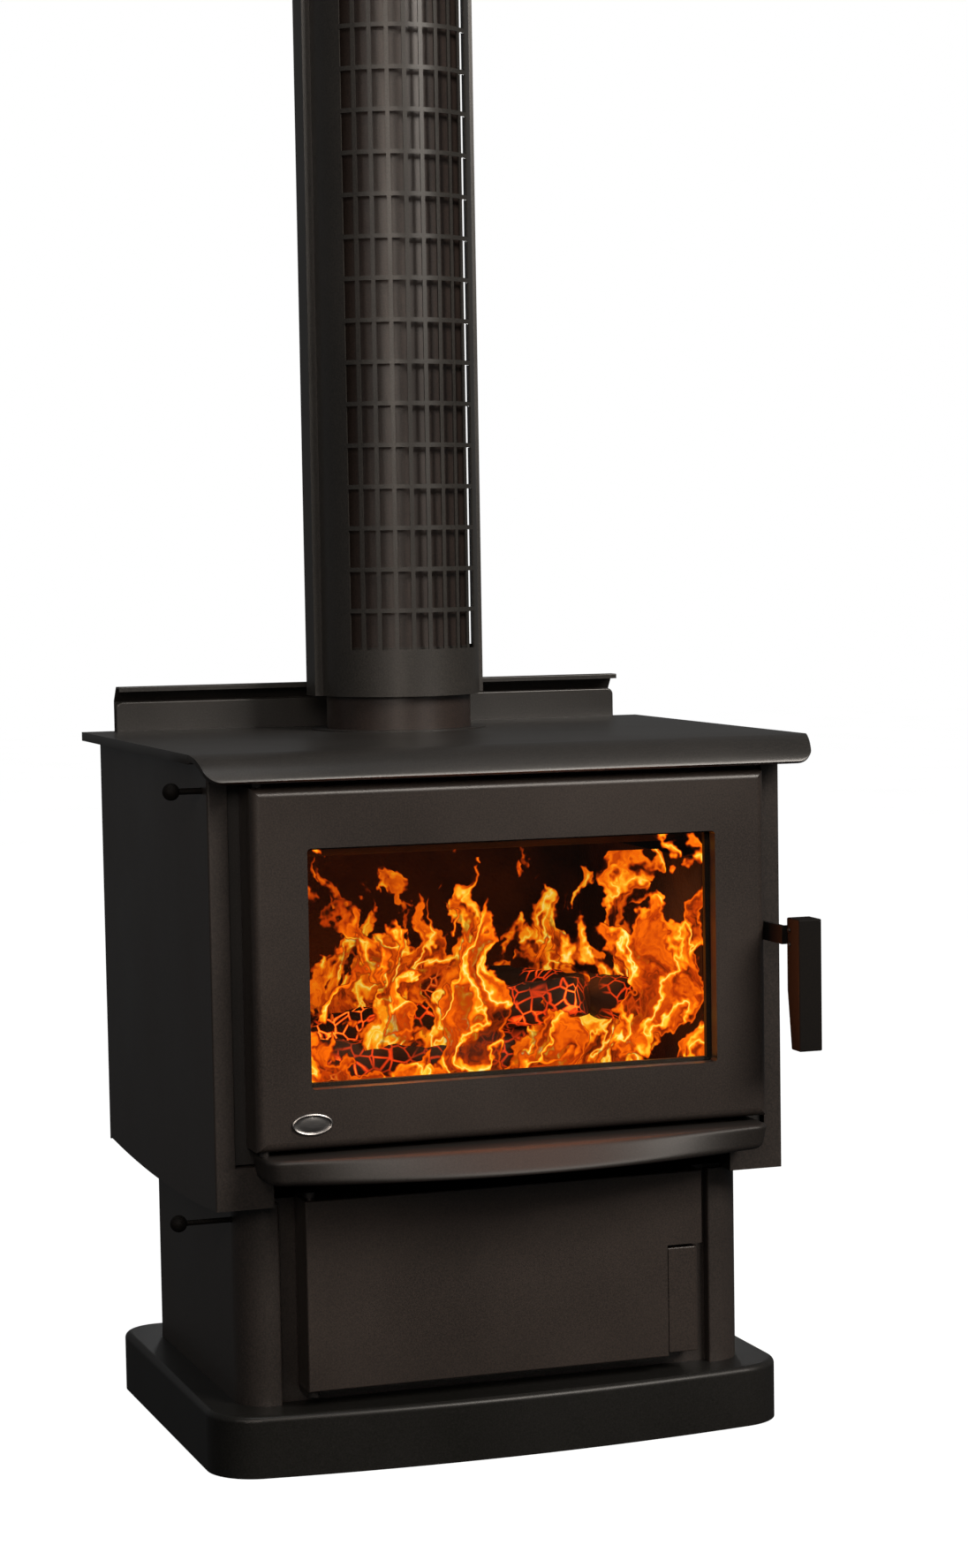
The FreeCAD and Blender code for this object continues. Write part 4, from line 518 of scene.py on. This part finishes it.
for number, (deep, low, high, half, seed, lift, strength) in enumerate((
    (-0.178, 0.367, 0.616, 0.238, 0.0, 0.130, 1.35),
    (-0.085, 0.352, 0.570, 0.215, 3.1, 0.115, 1.15),
    (0.090, 0.352, 0.590, 0.215, 6.4, 0.105, 0.95),
)):
    bm = bmesh.new()
    grid = []
    for j in range(25):
        row = []
        for i in range(49):
            x = half * (2 * i / 48 - 1)
            z = low + (high - low) * j / 24
            wave = noise.noise(Vector((x * 9, seed, z * 6)))
            row.append(bm.verts.new((x, deep + 0.007 * wave, z)))
        grid.append(row)
    for j in range(24):
        for i in range(48):
            bm.faces.new((grid[j][i], grid[j][i + 1], grid[j + 1][i + 1], grid[j + 1][i]))
    gas_glow = flame(f"wood_flame_{number + 1}", seed, lift, strength)
    new_piece(f"flame_veil_{number + 1}", bm, gas_glow, "stove")

for name, place in (("fire_left", (-0.09, -0.10, 0.44)), ("fire_right", (0.12, -0.10, 0.46))):
    lamp = bpy.data.lights.new(name, "POINT")
    lamp.energy = 0.22
    lamp.color = shade("#ff8a3c")[:3]
    lamp.shadow_soft_size = 0.05
    holder = bpy.data.objects.new(name, lamp)
    holder.location = place
    scene.collection.objects.link(holder)

glow_lamp = bpy.data.lights.new("fire_glow", "AREA")
glow_lamp.shape = "RECTANGLE"
glow_lamp.size = 0.40
glow_lamp.size_y = 0.20
glow_lamp.energy = 1.9
glow_lamp.color = shade("#ff8a4c")[:3]
holder = bpy.data.objects.new("fire_glow", glow_lamp)
holder.location = (0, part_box("door_frame")[0][1] - 0.002, 0.487)
holder.rotation_euler = (math.radians(-90), 0, 0)
holder.visible_camera = False  # it stands for light that comes through the glass
scene.collection.objects.link(holder)

# Door: a deep folded frame with a rolled edge, and its heat-proof glass clamped by a
# steel retainer on a flat tape. The rope in the back of the frame seals it.

repaint(door_paint, "door_frame")
repaint(frame_paint, "glass_retainer")

ceramic_glass, tree = new_material("ceramic_glass")
facing = add(tree, "ShaderNodeFresnel", inputs={"IOR": 1.45}).outputs[0]
film = maths(tree, "MULTIPLY", facing, 0.35)
spot = add(tree, "ShaderNodeTexCoord").outputs["Object"]
smoke_tint = tones(tree, cloudy(tree, spot, 6.0, 4.0), (0.0, "#f2ebe2"), (1.0, "#fffdf8"))
clear = add(tree, "ShaderNodeBsdfTransparent", inputs={"Color": smoke_tint})
mirror = add(tree, "ShaderNodeBsdfGlossy", inputs={"Roughness": 0.03, "Color": [1, 1, 1, 1]})
pane = add(tree, "ShaderNodeMixShader", inputs={0: film, 1: clear.outputs[0], 2: mirror.outputs[0]})
add(tree, "ShaderNodeOutputMaterial", inputs={"Surface": pane.outputs[0]})
repaint(ceramic_glass, "door_glass")

glass_fibre, tree = new_material("braided_glass_fibre")
spot = add(tree, "ShaderNodeTexCoord").outputs["Object"]
strands = add(tree, "ShaderNodeTexWave", {"bands_direction": "DIAGONAL"}, {
    "Vector": spot, "Scale": 90.0, "Distortion": 1.5}).outputs["Fac"]
coat(tree, {
    "Base Color": tones(tree, strands, (0.0, "#2c2a28"), (1.0, "#5d5a55")), "Roughness": 0.9,
    "Normal": dented(tree, strands, 0.6, 0.001)})
repaint(glass_fibre, "door_rope", "glass_tape")

# Badge: a cast metal oval with a raised rim and a plain brushed middle, pinned to the
# bottom left of the door.

cast_badge, tree = new_material("satin_cast_badge")
spot = add(tree, "ShaderNodeTexCoord").outputs["Object"]
stretched = add(tree, "ShaderNodeMapping", inputs={"Vector": spot, "Scale": (120.0, 1.0, 2600.0)})
lines = cloudy(tree, stretched.outputs[0], 1.0, 2.0)
coat(tree, {
    "Base Color": tones(tree, lines, (0.0, "#5c5a5d"), (1.0, "#a19f9c")), "Metallic": 1.0, "Roughness": 0.34,
    "Normal": dented(tree, lines, 0.2, 0.0002)})

low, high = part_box("badge")
middle_x, middle_z = (low[0] + high[0]) / 2, (low[2] + high[2]) / 2
half_x, half_z, back = (high[0] - low[0]) / 2, (high[2] - low[2]) / 2, high[1]
deep = high[1] - low[1]
rim_end = 0.8  # share of the width at which the rim ends and the flat middle starts
bm = bmesh.new()
loops = []
for share, rise in ((1.0, 0.0), (1.0, 0.45), (0.975, 0.85), (0.93, 1.0), (0.885, 0.85),
                    (0.865, 0.5), (0.84, 0.42), (0.6, 0.55), (0.3, 0.64)):
    wide = half_x * share
    tall = half_z - half_x * (1 - share) if share > rim_end else half_z * share
    loop = []
    for i in range(72):
        angle = 2 * math.pi * i / 72
        x = middle_x + wide * math.cos(angle)
        z = middle_z + tall * math.sin(angle)
        loop.append(bm.verts.new((x, back - deep * rise, z)))
    loops.append(loop)
close_rings(bm, loops)
oval_badge = new_piece("oval_badge", bm, cast_badge, "door")
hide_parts("badge")

# Latch: a flat steel arm on a turned shaft, a cam inside, and a folded grip held to
# the arm by two screws. Shaft, cam and hinge pins are turned and blackened, not painted.

# The handle paint is the stove paint made darker still: black as it is, plus painted shade that dims the key
# lamp's highlight on the grip.
handle_paint_with_painted_shade = stove_paint("black_stove_paint_handle_painted_shade", "#0d0c0b", "#14110f", 0.62, 1.18)
repaint(handle_paint_with_painted_shade, "latch_grip", "latch_arm")

turned_steel, tree = new_material("turned_blackened_steel")
spot = add(tree, "ShaderNodeTexCoord").outputs["Object"]
oxide = cloudy(tree, spot, 220.0, 3.0)
coat(tree, {
    "Base Color": tones(tree, oxide, (0.0, "#2e2c2b"), (1.0, "#5a5653")), "Metallic": 0.9,
    "Roughness": spread(tree, oxide, 0.0, 1.0, 0.26, 0.46)})
repaint(turned_steel, "latch_shaft", "latch_cam", "latch_catch",
        "hinge_lug_upper", "hinge_pin_lower", "storage_pin_lower", "storage_pin_upper")

# Screws: pan heads with a hexagon socket, two in the side of the grip and two rows in
# the back of the door that clamp the glass retainer. One tree sets out each row.

row_tree = bpy.data.node_groups.new("screw_row", "GeometryNodeTree")
for label, kind, value in (
    ("Count", "NodeSocketInt", 2),
    ("First", "NodeSocketVector", (0, 0, 0)),
    ("Step", "NodeSocketVector", (0, 0, 0.01)),
    ("Turn", "NodeSocketVector", (0, 0, 0)),
    ("Head Radius", "NodeSocketFloat", 0.003),
    ("Head Height", "NodeSocketFloat", 0.002),
):
    row_tree.interface.new_socket(label, in_out="INPUT", socket_type=kind).default_value = value
row_tree.interface.new_socket("Material", in_out="INPUT", socket_type="NodeSocketMaterial")
row_tree.interface.new_socket("Screws", in_out="OUTPUT", socket_type="NodeSocketGeometry")
asked = row_tree.nodes.new("NodeGroupInput").outputs
spots = add(row_tree, "GeometryNodeMeshLine", {"mode": "OFFSET"}, {
    "Count": asked["Count"], "Start Location": asked["First"], "Offset": asked["Step"]})
low_part = maths(row_tree, "MULTIPLY", asked["Head Height"], 0.55)
edge_radius = maths(row_tree, "MULTIPLY", asked["Head Radius"], 0.72)
socket_radius = maths(row_tree, "MULTIPLY", asked["Head Radius"], 0.42)
barrel = add(row_tree, "GeometryNodeMeshCylinder", inputs={
    "Vertices": 20, "Radius": asked["Head Radius"], "Depth": low_part})
dome = add(row_tree, "GeometryNodeMeshCone", inputs={
    "Vertices": 20, "Radius Top": edge_radius, "Radius Bottom": asked["Head Radius"],
    "Depth": asked["Head Height"]})
raise_dome = maths(row_tree, "MULTIPLY", low_part, 0.5)
lifted = add(row_tree, "ShaderNodeCombineXYZ", inputs={"Z": raise_dome})
dome_up = add(row_tree, "GeometryNodeTransform", inputs={
    "Geometry": dome.outputs["Mesh"], "Translation": lifted.outputs[0]})
head = add(row_tree, "GeometryNodeJoinGeometry")
row_tree.links.new(barrel.outputs["Mesh"], head.inputs[0])
row_tree.links.new(dome_up.outputs[0], head.inputs[0])
pin = add(row_tree, "GeometryNodeMeshCylinder", inputs={
    "Vertices": 6, "Radius": socket_radius, "Depth": asked["Head Height"]})
pin_height = maths(row_tree, "MULTIPLY", asked["Head Height"], 1.2)
pin_lift = add(row_tree, "ShaderNodeCombineXYZ", inputs={"Z": pin_height})
pin_up = add(row_tree, "GeometryNodeTransform", inputs={
    "Geometry": pin.outputs["Mesh"], "Translation": pin_lift.outputs[0]})
bored = add(row_tree, "GeometryNodeMeshBoolean", {"operation": "DIFFERENCE"}, {"Mesh 1": head.outputs[0]})
row_tree.links.new(pin_up.outputs[0], bored.inputs["Mesh 2"])
placed = add(row_tree, "GeometryNodeInstanceOnPoints", inputs={
    "Points": spots.outputs["Mesh"], "Instance": bored.outputs["Mesh"], "Rotation": asked["Turn"]})
real = add(row_tree, "GeometryNodeRealizeInstances", inputs={"Geometry": placed.outputs["Instances"]})
coated = add(row_tree, "GeometryNodeSetMaterial", inputs={
    "Geometry": real.outputs["Geometry"], "Material": asked["Material"]})
row_out = row_tree.nodes.new("NodeGroupOutput")
row_tree.links.new(coated.outputs[0], row_out.inputs[0])

grip_low, grip_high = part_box("grip_screw_2")
grip_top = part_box("grip_screw_1")[1]
clamp_low, clamp_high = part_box("glass_retainer")
clamp_inset, clamp_edge = 0.03, 0.008
clamp_left = clamp_low[0] + clamp_inset
clamp_step = (clamp_high[0] - clamp_low[0] - 2 * clamp_inset) / 3
clamp_back = clamp_high[1]
grip_first = (grip_high[0] - 0.0004, (grip_low[1] + grip_high[1]) / 2, (grip_low[2] + grip_high[2]) / 2)
facing_left, facing_back = (0, -math.pi / 2, 0), (-math.pi / 2, 0, 0)
screw_rows = (
    ("grip_screws", 2, grip_first, (0, 0, grip_top[2] - grip_high[2]),
     facing_left, 0.0026, 0.0011, "latch", "bright_steel"),
    ("retainer_screws_low", 4, (clamp_left, clamp_back, clamp_low[2] + clamp_edge), (clamp_step, 0, 0),
     facing_back, 0.0045, 0.0026, "door", "bright_steel"),
    ("retainer_screws_top", 4, (clamp_left, clamp_back, clamp_high[2] - clamp_edge), (clamp_step, 0, 0),
     facing_back, 0.0045, 0.0026, "door", "bright_steel"),
)
for name, count, first, step, turned, radius, tall, body, slot in screw_rows:
    empty_mesh = bpy.data.meshes.new(name)
    maker = bpy.data.objects.new("row_maker", empty_mesh)
    scene.collection.objects.link(maker)
    layout = maker.modifiers.new("row", "NODES")
    layout.node_group = row_tree
    given = {"Count": count, "First": first, "Step": step, "Turn": turned,
             "Head Radius": radius, "Head Height": tall, "Material": turned_steel}
    for item in row_tree.interface.items_tree:
        if item.in_out == "INPUT":
            layout[item.identifier] = given[item.name]
    made = bpy.data.meshes.new_from_object(maker.evaluated_get(bpy.context.evaluated_depsgraph_get()))
    bpy.data.objects.remove(maker)
    bm = bmesh.new()
    bm.from_mesh(made)
    bmesh.ops.recalc_face_normals(bm, faces=bm.faces)
    screws = new_piece(name, bm, turned_steel, body)
    if name == "grip_screws":
        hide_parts("grip_screw_1", "grip_screw_2")

# Controls: two thin steel rods with pressed-on ball knobs, which slide out of the left
# side. They are sprayed with the handle paint, and carry its painted shade.

repaint(handle_paint_with_painted_shade, "upper_rod", "lower_rod", "upper_knob", "lower_knob")

# Ash shelf: one sheet pressed into a bowed apron that leans out, with rolled edges
# above and below, hooked under the door.

# The shelf paint is a darker copy of the stove paint: near black as it is, plus painted shade that dims the
# lamps' highlight on the apron.
shelf_paint_with_painted_shade = stove_paint("charcoal_stove_paint_shelf_painted_shade", "#181614", "#262220", 0.50, 1.38)
low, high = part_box("ash_shelf")
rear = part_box("casing_left")[0][1]
top, foot = high[2], low[2]
front = low[1]
half_top = high[0]


def shelf_outline(half, reach, bow, corner):
    """Plan outline of the shelf at one level, from the back left to the back right."""
    points = [(-half, rear), (-half, rear - (reach - corner) * 0.5)]
    flat = half - corner
    for i in range(9):
        angle = math.pi + math.pi / 2 * i / 8
        points.append((-flat + corner * math.cos(angle), rear - reach + corner + corner * math.sin(angle)))
    for i in range(1, 48):
        share = 2 * i / 48 - 1
        points.append((flat * share, rear - reach - bow * (1 - share * share)))
    for i in range(9):
        angle = -math.pi / 2 + math.pi / 2 * i / 8
        points.append((flat + corner * math.cos(angle), rear - reach + corner + corner * math.sin(angle)))
    return points + [(half, rear - (reach - corner) * 0.5), (half, rear)]


reach_top, bow_top = 0.060, 0.012
reach_low = 0.056
bow_low = rear - front - reach_low - 0.001
roll_top, roll_low, wall = 0.004, 0.006, 0.003
levels = []
for i in range(7):
    angle = math.pi / 2 * i / 6
    levels.append((top - roll_top * (1 - math.cos(angle)), roll_top * (1 - math.sin(angle))))
for i in range(1, 8):
    levels.append((top - roll_top - (top - foot - roll_top - roll_low) * i / 8, 0.0))
for i in range(7):
    angle = math.pi / 2 * i / 6
    levels.append((foot + roll_low * (1 - math.sin(angle)), roll_low * (1 - math.cos(angle))))
levels += [(foot + 0.001, roll_low + wall * 0.6), (foot + 0.006, wall + 0.001)]
levels += [(top - wall - 0.006, wall + 0.001), (top - wall, wall + 0.006)]
bm = bmesh.new()
loops = []
for level, inset in levels:
    t = (level - foot) / (top - foot)
    half = half_top - 0.004 * (1 - t) - inset
    reach = reach_low + (reach_top - reach_low) * t - inset
    outline = shelf_outline(half, reach, bow_low + (bow_top - bow_low) * t, 0.016)
    loops.append([bm.verts.new((x, y, level)) for x, y in outline])
close_rings(bm, loops)
ash_apron = new_piece("ash_apron", bm, shelf_paint_with_painted_shade, "stove")
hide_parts("ash_shelf")

# Flue: a 150 mm seamed steel pipe that stands in its collar. A flat trim ring covers
# the gap round it on the top plate.

flue_paint = stove_paint("flue_stove_paint", "#1f1a18", "#312824", 0.36)
repaint(flue_paint, "flue_pipe")
repaint(top_paint, "flue_ring")

# Flue shield: a sheet rolled to a half round, slotted in front for the air to pass,
# on two bands round the pipe.

shield_paint = stove_paint("charcoal_stove_paint_shield", "#201f1d", "#322f2c", 0.36)
repaint(shield_paint, "flue_shield", "shield_band_1", "shield_band_2")

bpy.context.view_layer.update()
